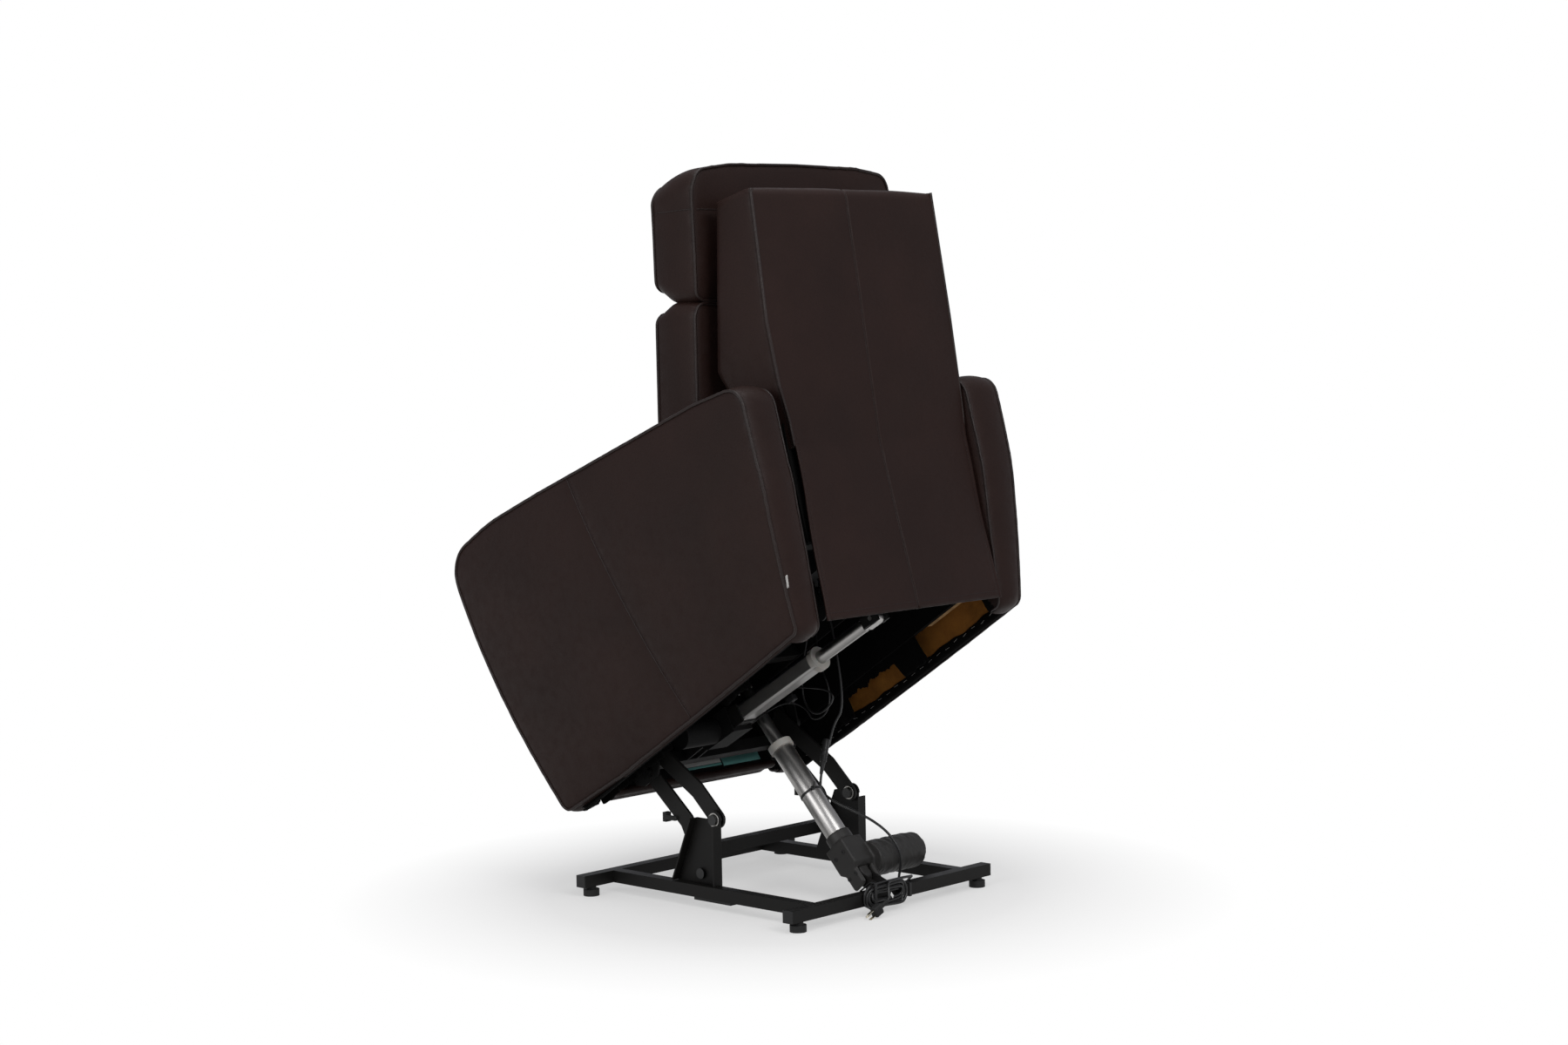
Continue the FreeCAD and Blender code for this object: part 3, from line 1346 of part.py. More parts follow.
def handset():
    back, face = f"-({HANDSET_BACK})", f"-({HANDSET_BACK}) - handset_depth"
    low, high = "handset_z - handset_length / 2", "handset_z + handset_length / 2"
    case = box("handset_blank", (face, f"{back} - pivot_clearance", "handset_y - handset_width / 2",
                                 "handset_y + handset_width / 2", low, high))
    wells, keys = [], []
    for word, shift in (("lift", 30), ("recline", -6)):
        z = f"handset_z + {shift}"
        room = 0.7
        wells.append(box(f"{word}_well", (
            f"{face} - 1", f"{face} + key_height + 1",
            f"handset_y - key_width / 2 - {room}", f"handset_y + key_width / 2 + {room}",
            f"{z} - key_length / 2 - {room}", f"{z} + key_length / 2 + {room}")))
        bore = cylinder(f"{word}_key_bore", "1.3", "key_width + 6",
                        (f"{face} + key_height / 2", "handset_y - key_width / 2 - 3", z),
                        FreeCAD.Rotation(V(1, 0, 0), -90))
        wells.append(bore)
        cap = box(f"{word}_cap", (f"{face} - key_height / 2", f"{face} + key_height - 1",
                                  "handset_y - key_width / 2", "handset_y + key_width / 2",
                                  f"{z} - key_length / 2", f"{z} + key_length / 2"))
        axle = cylinder(f"{word}_axle", "1.2", "key_width + 4",
                        (f"{face} + key_height / 2", "handset_y - key_width / 2 - 2", z),
                        FreeCAD.Rotation(V(1, 0, 0), -90))
        keys.append((f"{word}_key", fused(f"{word}_key", cap, axle)))
    node("handset_case", cut("handset_case", case, *wells), frame=CHAIR)
    for label, key in keys:
        node(label, key, frame=CHAIR)


handset()


# Cords, each a round tube along straight runs joined by tangent arcs

def rounded_path(points):
    edges = []
    start = points[0]
    smallest = None
    for before, corner, after in zip(points, points[1:], points[2:]):
        arrive, leave = corner - before, after - corner
        turn = arrive.getAngle(leave)
        reach = 0.45 * min(arrive.Length, leave.Length)
        radius = reach / math.tan(turn / 2)
        smallest = radius if smallest is None else min(smallest, radius)
        arrive.normalize()
        leave.normalize()
        a, b = corner - arrive * reach, corner + leave * reach
        inward = leave - arrive
        inward.normalize()
        middle = corner + inward * (radius / math.cos(turn / 2) - radius)
        edges += [Part.LineSegment(start, a).toShape(), Part.Arc(a, middle, b).toShape()]
        start = b
    edges.append(Part.LineSegment(start, points[-1]).toShape())
    return Part.Wire(edges), smallest


def tube_along(path, radius):
    first = path.OrderedEdges[0]
    tangent = first.tangentAt(first.FirstParameter)
    ring = Part.Wire(Part.Circle(first.valueAt(first.FirstParameter), tangent, radius).toShape())
    return Part.Wire(path.OrderedEdges).makePipeShell([ring], True, False)


def cord(label, routes, frame):
    radius = size("cord_radius")
    tubes = []
    for number, points in enumerate(routes):
        path, smallest = rounded_path(points)
        shape = tube_along(path, radius)
        ideal = math.pi * radius ** 2 * path.Length
        print(f"{label}: least radius {smallest:.1f}, volume {shape.Volume:.0f} for {ideal:.0f}")
        tubes.append(feature(f"{label}_{number}", shape))
    return node(label, *tubes, frame=frame)


HANK_CENTRE = V(37, size("rail_spacing") / 2 + size("rail_size") / 2 + size("cord_radius") + 0.7, 39.5)


def hank_outer_radius():
    half_turns = int(2 * size("hank_turns_per_layer"))
    return size("hank_inner_radius") + (half_turns - 1) * size("hank_pitch") / 2


def hank_path():
    # Loops that spiral in on the layer by the rail and out again on the layer behind it
    pitch, half_run = size("hank_pitch"), size("hank_straight") / 2
    step = pitch / 2
    turns = int(2 * size("hank_turns_per_layer"))
    outer = hank_outer_radius()
    edges, x, z, y = [], -half_run, outer, 0.0
    side = 1

    def run(end_x, end_y):
        nonlocal x, y
        start, end = V(x, y, z), V(end_x, end_y, z)
        if end_y == y:
            edges.append(Part.LineSegment(start, end).toShape())
        else:
            rise, length = end_y - y, (end_x - x) / 2
            lean = math.atan2(rise / 2, length)
            bend = length / math.sin(2 * lean)
            for a, b, sign in ((start, (start + end) / 2, 1), ((start + end) / 2, end, -1)):
                chord = b - a
                sag = abs(bend) * (1 - math.cos(lean))
                edges.append(Part.Arc(a, (a + b) / 2 - V(0, sign * sag, 0), b).toShape())
        x, y = end_x, end_y

    def half_turn(radius):
        nonlocal z, side
        bulge = V(x + side * radius, y, z - side * radius)
        end = V(x, y, z - side * 2 * radius)
        edges.append(Part.Arc(V(x, y, z), bulge, end).toShape())
        z -= side * 2 * radius
        side = -side

    for number in range(turns):
        run(side * half_run, 0.0)
        half_turn(outer - number * step)
    for number in range(turns):
        run(side * half_run, pitch)
        half_turn(size("hank_inner_radius") + number * step)
    run(-side * half_run * 0.6, pitch)
    return Part.Wire(edges)


def least_gap(path, radius):
    # The closest that the wound tube comes to itself, measured on points along it
    points = path.discretize(Distance=4.0)
    skip = 6
    gap = min(
        (a - b).Length
        for i, a in enumerate(points)
        for b in points[i + skip:]
    )
    return gap - 2 * radius


def power_cord_hank():
    path = hank_path()
    radius = size("cord_radius")
    print(f"hank: length {path.Length:.0f}, least gap to itself {least_gap(path, radius):.2f}")
    shape = tube_along(path, radius)
    shape.translate(HANK_CENTRE)
    node("power_cord_hank", feature("power_cord_hank", shape), frame=BASE)
    return path


hank = power_cord_hank()
hank_start = hank.OrderedVertexes[0].Point + HANK_CENTRE
hank_end = hank.OrderedVertexes[-1].Point + HANK_CENTRE
LEAD = [V(-52, 62, 272), V(-40, 66, 243), V(-32.5, 71, 214), V(-38, 106, 194), V(-52, 148, 178),
        V(-67, 186, 160), V(-79, 219, 136), V(-85, 243, 104), V(-87, 247, 76), V(-87, 240, 52)]
DROP = [V(-87, 239.9, 51.65), V(-87, 236.4, 38.5), V(-85, 246, 29), V(-82, 262, 33), V(-76, 276, 48),
        V(-65, 293, 57), V(-47, 306, 61), V(-22, hank_start.y, hank_start.z), hank_start]
PLUG_START, PLUG_END = V(66, 331, 25), V(114, 331, 5)
plug_way = PLUG_END - PLUG_START
plug_way.normalize()
TAIL = [hank_end, hank_end + V(13, 0, 0), V(40, 320, hank_end.z - 2), V(46, 327, hank_end.z - 17),
        PLUG_START - plug_way * 18, PLUG_START]
cord("power_cord_lead", [LEAD], BASE)
cord("power_cord_ends", [DROP, TAIL], BASE)


def plug():
    relief = Part.makeCone(3.6, 5.0, 12, V(0, 0, 0))
    body = Part.makeBox(16, 22, 22, V(-8, -11, 12))
    blades = [Part.makeBox(6.3, 1.5, 17, V(-2.2, y - 0.75, 34)) for y in (-6.35, 6.35)]
    ground = Part.makeCylinder(2.4, 18, V(-5.2, 0, 34))
    shape = relief.fuse([body, ground] + blades)
    piece = feature("power_plug", shape)
    turn = FreeCAD.Rotation(V(0, 0, 1), plug_way)
    node("power_plug", piece, frame=BASE.multiply(FreeCAD.Placement(PLUG_START, turn)))


plug()


CONNECTOR_RADIUS = 8


def connector():
    start, end = LEAD[0], LEAD[0] + (LEAD[0] - LEAD[1]) * 1.6
    way = end - start
    shape = Part.makeCylinder(CONNECTOR_RADIUS, way.Length, start, way)
    node("cable_connector", feature("cable_connector", shape), frame=BASE)
    return end


connector_end = connector()


def cable_tie():
    # A nylon tie round the tube, with its head behind
    along = (LEAD[2] - V(size("lift_motor_x"), lift_foot.y, lift_foot.z)).dot(
        direction(angle_of(raised_lift_top - lift_foot)))
    outer = cylinder("tie_outer", "lift_tube_radius + 1.5", "5", ("0", "0", f"{along - 2.5}"))
    inner = cylinder("tie_inner", "lift_tube_radius + 0.05", "5", ("0", "0", f"{along - 2.5}"))
    node("cable_tie", cut("cable_tie", outer, inner), frame=LIFT_AXIS)


cable_tie()


def cord_straps():
    rear_face = size("rail_spacing") / 2 + size("rail_size") / 2
    front_face = rear_face - size("rail_size")
    low, top = size("rail_top") - size("rail_size") - 0.3, size("rail_top") + 0.3
    reach = hank_outer_radius() + size("cord_radius") + 0.8
    behind = rear_face + size("hank_pitch") + 2 * size("cord_radius") + 1.6
    inner = [point(front_face - 0.5, low), point(rear_face + 0.5, HANK_CENTRE.z - reach),
             point(behind, HANK_CENTRE.z - reach), point(behind, HANK_CENTRE.z + reach),
             point(rear_face + 0.5, HANK_CENTRE.z + reach), point(front_face - 0.5, top)]
    outer = band_around(inner, 1.4)
    hank_strap = plate("hank_strap", [(outer, "71", "78")], slots=[polygon(inner)])
    small = [point(front_face - 0.4, low), point(rear_face + 0.4, low), point(rear_face + 0.4, top),
             point(front_face - 0.4, top)]
    rail_strap = plate("rail_strap", [(band_around(small, 1.2), "-50", "-43")], slots=[polygon(small)])
    node("cord_straps", hank_strap, rail_strap, frame=BASE)


def band_around(points, thickness):
    closed = Part.makePolygon(points + points[:1])
    wire = closed.makeOffset2D(thickness, 2)
    return polygon([vertex.Point for vertex in wire.OrderedVertexes])


cord_straps()
# The cable lies along the connector's outer side, so that it slides off as the chair lowers
connector_way = connector_end - LEAD[0]
connector_way.normalize()
beside = connector_way.cross(V(0, 1, 0))
beside.normalize()
cable_entry = V(size("control_box_x") - size("cable_entry_x"), size("control_box_y") + size("cable_entry_y"),
                size("side_plate_top") + size("cross_rail_size") - size("control_box_height"))
cable_start = connector_end - connector_way * 9 + beside * (CONNECTOR_RADIUS + size("cord_radius") + 0.3)
cord("control_cable", [[
    seated_point(cable_start), seated_point(cable_start + connector_way * 40),
    seated_point(connector_end + V(-36, 24, 70)), cable_entry - V(0, 0, 39), cable_entry,
]], CHAIR)


# Checks, then one file for each piece

doc.recompute()
os.makedirs("parts", exist_ok=True)
for item in doc.Objects:
    if any(word in item.State for word in ("Invalid", "Error")):
        raise RuntimeError(f"{item.Name} failed: {item.State}")
for piece in NODES:
    shape = piece.Shape
    if shape.isNull() or not shape.isValid() or not shape.Solids:
        raise RuntimeError(f"{piece.Label} has no valid solid")
whole = FreeCAD.BoundBox()
for piece in NODES:
    piece.Shape.exportStep(f"parts/{piece.Label}.step")
    whole.add(piece.Shape.BoundBox)
print(f"{len(NODES)} pieces, {whole}")
print(f"tilt {TILT:.4f}, rear swing {REAR_SWING:.4f}, front swing {FRONT_SWING:.4f}")
print(f"lift actuator: turn {LIFT_TURN:.4f}, stroke {LIFT_LENGTH - LIFT_LOWERED_LENGTH:.3f}")
print(f"recline actuator: turn {RECLINE_TURN:.4f}, stroke {RECLINE_LENGTH - RECLINED_LENGTH:.3f}")
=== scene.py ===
# Looks of the lift recliner chair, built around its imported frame. Lengths are in metres.
import math

import bmesh
import bpy
import numpy as np
from mathutils import Matrix, Vector
from mathutils.kdtree import KDTree
from mathutils.noise import ridged_multi_fractal


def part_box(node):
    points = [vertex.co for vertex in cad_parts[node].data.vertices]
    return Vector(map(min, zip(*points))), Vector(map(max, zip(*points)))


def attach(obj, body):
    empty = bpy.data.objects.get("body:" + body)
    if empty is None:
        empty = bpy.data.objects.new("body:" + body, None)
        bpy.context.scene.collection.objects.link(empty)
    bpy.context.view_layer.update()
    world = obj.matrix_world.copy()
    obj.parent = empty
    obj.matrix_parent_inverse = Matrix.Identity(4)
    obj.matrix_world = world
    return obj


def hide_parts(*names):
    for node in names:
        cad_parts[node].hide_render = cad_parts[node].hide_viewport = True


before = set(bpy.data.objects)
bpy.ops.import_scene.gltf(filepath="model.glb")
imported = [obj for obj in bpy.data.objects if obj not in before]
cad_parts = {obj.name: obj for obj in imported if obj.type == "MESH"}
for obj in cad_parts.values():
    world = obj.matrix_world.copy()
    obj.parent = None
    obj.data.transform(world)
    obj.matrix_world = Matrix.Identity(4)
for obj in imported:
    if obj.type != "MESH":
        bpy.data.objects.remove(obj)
bpy.context.scene.view_settings.view_transform = "Standard"
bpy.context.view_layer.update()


# Places

def shift(x, y, z):
    return Matrix.Translation((x, y, z))


def spin(degrees, axis):
    return Matrix.Rotation(math.radians(degrees), 4, axis)


# The chair stands tilted on its raised links: seated millimetres become raised metres
CHAIR_TILT = math.radians(33.247246545754244)
CHAIR_SHIFT = (0.0, 0.20436321670141914, 0.35809661686241407)
BASE_CENTRE_Y = 0.1233
CHAIR_FRAME = shift(*CHAIR_SHIFT) @ Matrix.Rotation(CHAIR_TILT, 4, "X")
LIFT_FRAME = shift(-0.005, 0.3373, 0.055) @ spin(42.525, "X")
RECLINE_FRAME = shift(0.052, -0.060088, 0.305501) @ spin(301.156, "X")

# The back pillows are drawn in their own plane: up along the back, and forward out of it
PILLOW_ORIGIN = (591.0, 944.0)
PILLOW_LEAN = math.radians(32.9)


def raised(points):
    x, y, z = np.moveaxis(np.asarray(points, float) / 1000.0, -1, 0)
    c, s = math.cos(CHAIR_TILT), math.sin(CHAIR_TILT)
    return np.stack([x, y * c - z * s + CHAIR_SHIFT[1], y * s + z * c + CHAIR_SHIFT[2]], -1)


def seated(x, y, z):
    return raised(np.stack([x, y, z], -1))


def on_base(points):
    return np.asarray(points, float) / 1000.0 + np.array([0.0, BASE_CENTRE_Y, 0.0])


def pillow_place(x, up, forward):
    # Across, up the back and forward, in millimetres, to raised metres
    c, s = math.cos(PILLOW_LEAN), math.sin(PILLOW_LEAN)
    return seated(x, PILLOW_ORIGIN[0] + up * s - forward * c, PILLOW_ORIGIN[1] + up * c + forward * s)


def ease(value, start, end):
    t = np.clip((value - start) / (end - start), 0, 1)
    return t * t * (3 - 2 * t)


def wander_along(t, seed):
    # Slow irregular waves, the same each run
    return (np.sin(t * 9.1 + seed) + 0.6 * np.sin(t * 23.7 + 2.3 * seed) + 0.35 * np.sin(t * 51.3 + 4.1 * seed)) / 1.95


# Meshes

def placed(name, data):
    piece = bpy.data.objects.new(name, data)
    bpy.context.scene.collection.objects.link(piece)
    return piece


def pick(piece, *others):
    bpy.ops.object.select_all(action="DESELECT")
    for each in (piece, *others):
        each.select_set(True)
    bpy.context.view_layer.objects.active = piece


def smooth_all(mesh):
    mesh.polygons.foreach_set("use_smooth", [True] * len(mesh.polygons))


def applied(piece, kind, **settings):
    # A modifier added and applied at once
    modifier = piece.modifiers.new(kind.title(), kind)
    for key, value in settings.items():
        setattr(modifier, key, value)
    pick(piece)
    bpy.ops.object.modifier_apply(modifier=modifier.name)
    return piece


def cut_away(piece, tool, **settings):
    applied(piece, "BOOLEAN", operation="DIFFERENCE", solver="EXACT", object=tool, **settings)
    bpy.data.objects.remove(tool)


def remeshed(piece, voxel):
    pick(piece)
    piece.data.remesh_voxel_size = voxel
    bpy.ops.object.voxel_remesh()


def read(mesh, key):
    values = np.empty(len(mesh.vertices) * 3)
    mesh.vertices.foreach_get(key, values)
    return values.reshape(-1, 3)


def mesh_piece(name, points, faces):
    # A smooth piece with its faces turned outward
    mesh = bpy.data.meshes.new(name)
    mesh.from_pydata([tuple(p) for p in points], [], faces)
    mesh.validate()
    smooth_all(mesh)
    return outward(placed(name, mesh))


def outward(piece):
    bm = bmesh.new()
    bm.from_mesh(piece.data)
    bmesh.ops.remove_doubles(bm, verts=bm.verts, dist=1e-5)
    bmesh.ops.recalc_face_normals(bm, faces=bm.faces)
    bm.to_mesh(piece.data)
    bm.free()
    piece.data.update()
    return piece


def ring_faces(count, rings):
    return [(r * count + i, r * count + (i + 1) % count, (r + 1) * count + (i + 1) % count, (r + 1) * count + i)
            for r in range(rings - 1) for i in range(count)]


def resample(points, step, closed=True):
    p = np.asarray(points, float)
    if closed:
        p = np.vstack([p, p[:1]])
    along = np.concatenate([[0.0], np.cumsum(np.linalg.norm(np.diff(p, axis=0), axis=1))])
    at = np.linspace(0.0, along[-1], max(8, int(round(along[-1] / step))) + 1)
    out = np.stack([np.interp(at, along, p[:, k]) for k in range(p.shape[1])], 1)
    return out[:-1] if closed else out


def rounded(points, radii):
    # A closed outline whose corners are arcs of the given radii
    p = [np.asarray(q, float) for q in points]
    out = []
    for i, corner in enumerate(p):
        radius = radii[i]
        a, b = p[i - 1] - corner, p[(i + 1) % len(p)] - corner
        la, lb = np.linalg.norm(a), np.linalg.norm(b)
        a, b = a / la, b / lb
        half = math.acos(float(np.clip(a @ b, -1, 1))) / 2
        reach = min(radius / math.tan(half), 0.48 * la, 0.48 * lb)
        radius = reach * math.tan(half)
        if radius < 1.0 or half > math.radians(88):
            out.append(corner)
            continue
        centre = corner + (a + b) / np.linalg.norm(a + b) * (radius / math.sin(half))
        start, end = corner + a * reach - centre, corner + b * reach - centre
        steps = max(3, int(math.degrees(math.pi - 2 * half) / 10))
        sweep = math.atan2(start[0] * end[1] - start[1] * end[0], start @ end)
        for k in range(steps + 1):
            c, s = math.cos(sweep * k / steps), math.sin(sweep * k / steps)
            out.append(centre + np.array([start[0] * c - start[1] * s, start[0] * s + start[1] * c]))
    return np.array(out)


def pillow(name, outline, low, high, crowns, boxing, place, centre, rings=16, strips=9):
    # A closed pad: a low panel, a boxing strip round it and a high panel, sewn along two loops
    loop = resample(outline, 9.0)
    centre = np.array(centre, float)
    count = len(loop)
    panels = ((low, -crowns[0]), (high, crowns[1]))
    points = []

    def ring(level, crown, share):
        flat = centre + (loop - centre) * share
        points.append(place(*flat.T, level(*flat.T) + crown * (1 - share ** 2.6)))

    shares = [k / rings for k in range(1, rings + 1)]
    for share in shares:
        ring(*panels[0], share)
    normal = np.roll(loop, -1, 0) - np.roll(loop, 1, 0)
    normal = np.stack([normal[:, 1], -normal[:, 0]], 1)
    normal /= np.linalg.norm(normal, axis=1)[:, None]
    if ((loop - centre) * normal).sum() < 0:
        normal = -normal
    for t in np.arange(1, strips) / strips:
        flat = loop + normal * boxing * 4 * t * (1 - t)
        points.append(place(*flat.T, low(*loop.T) * (1 - t) + high(*loop.T) * t))
    for share in shares[::-1]:
        ring(*panels[1], share)
    tips = [place(*centre[:, None], level(*centre[:, None]) + crown) for level, crown in panels]
    faces = ring_faces(count, len(points))
    base, last = len(points) * count, (len(points) - 1) * count
    for i in range(count):
        j = (i + 1) % count
        faces += [(j, i, base), (last + i, last + j, base + 1)]
    loops = {"low": points[rings - 1], "high": points[rings + strips - 1]}
    return mesh_piece(name, np.concatenate(points + tips), faces), loops


# The cloth that is blown up: its thread, its weight and the pressure under it
CLOTH = {"quality": 4, "mass": 0.3, "tension_stiffness": 12, "compression_stiffness": 12, "shear_stiffness": 6,
         "bending_stiffness": 0.6, "use_pressure": True, "uniform_pressure_force": 4.0,
         "vertex_group_mass": "sewn", "pin_stiffness": 1}
CLOTH_FRAMES = 20
HELD_NEAR_SEAM = 0.007
SEAM_DIP, SEAM_WIDTH = 0.0022, 0.006


def inflate(piece, loops, lines, voxel, cap):
    # Fine cloth over the pad, blown up by no more than the cap, with the sewn lines held where they are
    remeshed(piece, voxel)
    mesh = piece.data
    rest = read(mesh, "co")
    sewn = [resample(loops["low"], 0.003), resample(loops["high"], 0.003)] + [resample(s, 0.003, False) for s in lines]
    spots = np.concatenate(sewn)
    tree = KDTree(len(spots))
    for i, p in enumerate(spots):
        tree.insert(p, i)
    tree.balance()
    far = np.array([tree.find(p)[2] for p in rest])
    group = piece.vertex_groups.new(name=CLOTH["vertex_group_mass"])
    for i in np.nonzero(far < HELD_NEAR_SEAM)[0]:
        group.add([int(i)], 1.0, "REPLACE")
    cloth = piece.modifiers.new("Cloth", "CLOTH")
    for key, value in CLOTH.items():
        setattr(cloth.settings, key, value)
    cloth.settings.effector_weights.gravity = 0
    cloth.collision_settings.use_collision = cloth.collision_settings.use_self_collision = False
    cloth.point_cache.frame_start, cloth.point_cache.frame_end = 1, CLOTH_FRAMES
    for number in range(1, CLOTH_FRAMES + 1):
        bpy.context.scene.frame_set(number)
    moved = read(piece.evaluated_get(bpy.context.evaluated_depsgraph_get()).data, "co") - rest
    piece.modifiers.remove(cloth)
    piece.vertex_groups.clear()
    bpy.context.scene.frame_set(1)
    length = np.linalg.norm(moved, axis=1)
    rest = rest + moved * np.minimum(1.0, cap / np.maximum(length, 1e-9))[:, None]
    # The seam allowance pulls the cover in beside each line
    dip = SEAM_DIP * np.exp(-(far / SEAM_WIDTH) ** 2)
    mesh.vertices.foreach_set("co", (rest - read(mesh, "normal") * dip[:, None]).ravel())
    mesh.update()
    applied(piece, "SMOOTH", factor=0.5, iterations=3)
    smooth_all(piece.data)


def welt(name, points, radius=0.0032, closed=True, sides=10):
    # A round cord sewn into a seam
    p = resample(points, 0.006, closed)
    last = (len(p) - 1) * sides
    ahead = np.roll(p, -1, 0) - np.roll(p, 1, 0) if closed else np.gradient(p, axis=0)
    ahead /= np.linalg.norm(ahead, axis=1)[:, None]
    normal = np.cross(ahead, p - p.mean(0))
    normal /= np.linalg.norm(normal, axis=1)[:, None]
    side = np.cross(normal, ahead)
    turns = (math.tau * np.arange(sides) / sides)[:, None]
    stack = p[:, None] + radius * (np.cos(turns) * normal[:, None] + np.sin(turns) * side[:, None])
    faces = ring_faces(sides, len(p))
    if closed:
        faces += [(last + i, last + (i + 1) % sides, (i + 1) % sides, i) for i in range(sides)]
    else:
        faces += [tuple(range(sides)), tuple(last + i for i in range(sides))]
    return mesh_piece(name, stack.reshape(-1, 3), faces)


def on_cover(cover, points, lift):
    # The nearest places on a finished cover, a little off its surface
    found = [cover.closest_point_on_mesh(Vector(point)) for point in points]
    return np.array([np.array(spot) + lift * np.array(normal) for _, spot, normal, _ in found])


def strip(name, rows, thickness):
    # A cloth strip through rows of points
    rows = np.asarray(rows, float)
    r, c = rows.shape[:2]
    faces = [(i * c + j, i * c + j + 1, (i + 1) * c + j + 1, (i + 1) * c + j)
             for i in range(r - 1) for j in range(c - 1)]
    return outward(applied(mesh_piece(name, rows.reshape(-1, 3), faces), "SOLIDIFY", thickness=thickness, offset=0.0))


def two_skins(name, skins):
    # A closed panel from an outer and an inner grid of points
    rows, columns = skins[0].shape[:2]
    size = rows * columns
    faces = []
    for r in range(rows - 1):
        for a in range(r * columns, (r + 1) * columns - 1):
            faces += [(a, a + 1, a + columns + 1, a + columns),
                      (size + a, size + a + columns, size + a + columns + 1, size + a + 1)]
    for r in range(rows - 1):
        for a in (r * columns, (r + 1) * columns - 1):
            faces.append((a, a + columns, size + a + columns, size + a))
    for c in range(columns - 1):
        for a in (c, size - columns + c):
            faces.append((a, a + 1, size + a + 1, size + a))
    return mesh_piece(name, np.concatenate([raised(skin).reshape(-1, 3) for skin in skins]), faces)


# The length of a stitch, the gap to the next one and the radius of the thread
STITCH, STITCH_GAP, THREAD = 0.0042, 0.0018, 0.00055


def stitches(name, line):
    # Short slack stitches laid along a line, each one a six-sided spindle
    p = resample(line, STITCH + STITCH_GAP, closed=False)
    points, faces = [], []
    for a, b in zip(p[:-1], p[1:]):
        way = (b - a) / np.linalg.norm(b - a)
        side = np.cross(way, (0.3, 0.2, 0.93))
        side /= np.linalg.norm(side)
        up = np.cross(side, way)
        base = len(points)
        turns = [math.tau * k / 6 for k in range(6)]
        middle = [a + way * STITCH * share + THREAD * (side * math.cos(t) + up * math.sin(t))
                  for share in (0.18, 0.82) for t in turns]
        points += [a, *middle, a + way * STITCH]
        for k in range(6):
            near, far = base + 1 + k, base + 1 + (k + 1) % 6
            faces += [(base, far, near), (near, far, far + 6, near + 6), (base + 13, near + 6, far + 6)]
    return mesh_piece(name, points, faces)


# Rigid pieces are started from primitives and shaped in edit mode

def join(name, pieces):
    pick(*pieces)
    bpy.ops.object.join()
    pieces[0].name = pieces[0].data.name = name
    return pieces[0]


def bake():
    bpy.ops.object.transform_apply(location=True, rotation=True, scale=True)


def mode(word):
    bpy.ops.object.mode_set(mode=word)


def all_faces():
    bpy.ops.mesh.select_all(action="SELECT")


def settle(piece, place):
    # Put the piece in its place, with the place kept in its mesh
    piece.matrix_world = place
    pick(piece)
    bake()
    return piece


def towards(start, end):
    # A frame at start whose Z runs to end
    return shift(*start) @ (Vector(end) - Vector(start)).to_track_quat("Z", "Y").to_matrix().to_4x4()


def block(name, low, high, edge=0.001, steps=2):
    bpy.ops.mesh.primitive_cube_add(size=1.0)
    piece = bpy.context.object
    piece.name = name
    piece.scale = [b - a for a, b in zip(low, high)]
    piece.location = [(a + b) / 2 for a, b in zip(low, high)]
    bake()
    mode("EDIT")
    all_faces()
    bpy.ops.mesh.bevel(offset=edge, segments=steps, affect="EDGES")
    mode("OBJECT")
    return piece


def smooth_sides(piece, degrees=35):
    pick(piece)
    bpy.ops.object.shade_smooth_by_angle(angle=math.radians(degrees))
    return piece


def close_edit():
    all_faces()
    bpy.ops.mesh.normals_make_consistent(inside=False)
    mode("OBJECT")


def turned(name, profile, sides=36):
    # A turned piece along Z: a disc extruded and resized ring by ring, given as radius and height
    radius, height = profile[0]
    bpy.ops.mesh.primitive_circle_add(vertices=sides, radius=radius, fill_type="NGON", location=(0, 0, height))
    piece = bpy.context.object
    piece.name = name
    bake()
    mode("EDIT")
    all_faces()
    for wider, higher in profile[1:]:
        bpy.ops.mesh.extrude_region_move(TRANSFORM_OT_translate={"value": (0, 0, higher - height)})
        bpy.ops.transform.resize(value=(wider / radius, wider / radius, 1.0), center_override=(0, 0, higher))
        radius, height = wider, higher
    close_edit()
    return smooth_sides(piece)


def washer(name, inner, outer, low, high, edge=0.0006, sides=48):
    # A ring: both ends of a drum are inset and bridged, and its rims are rounded
    bpy.ops.mesh.primitive_cylinder_add(vertices=sides, radius=outer, depth=high - low,
                                        location=(0, 0, (low + high) / 2))
    piece = bpy.context.object
    piece.name = name
    bake()
    mode("EDIT")
    bpy.ops.mesh.select_mode(type="FACE")
    bpy.ops.mesh.select_all(action="DESELECT")
    mode("OBJECT")
    for face in piece.data.polygons:
        face.select = abs(face.normal.z) > 0.9
    mode("EDIT")
    bpy.ops.mesh.inset(thickness=outer - inner)
    bpy.ops.mesh.bridge_edge_loops()
    close_edit()
    applied(piece, "BEVEL", width=edge, segments=2, limit_method="ANGLE", angle_limit=math.radians(40))
    return smooth_sides(piece)


# Materials

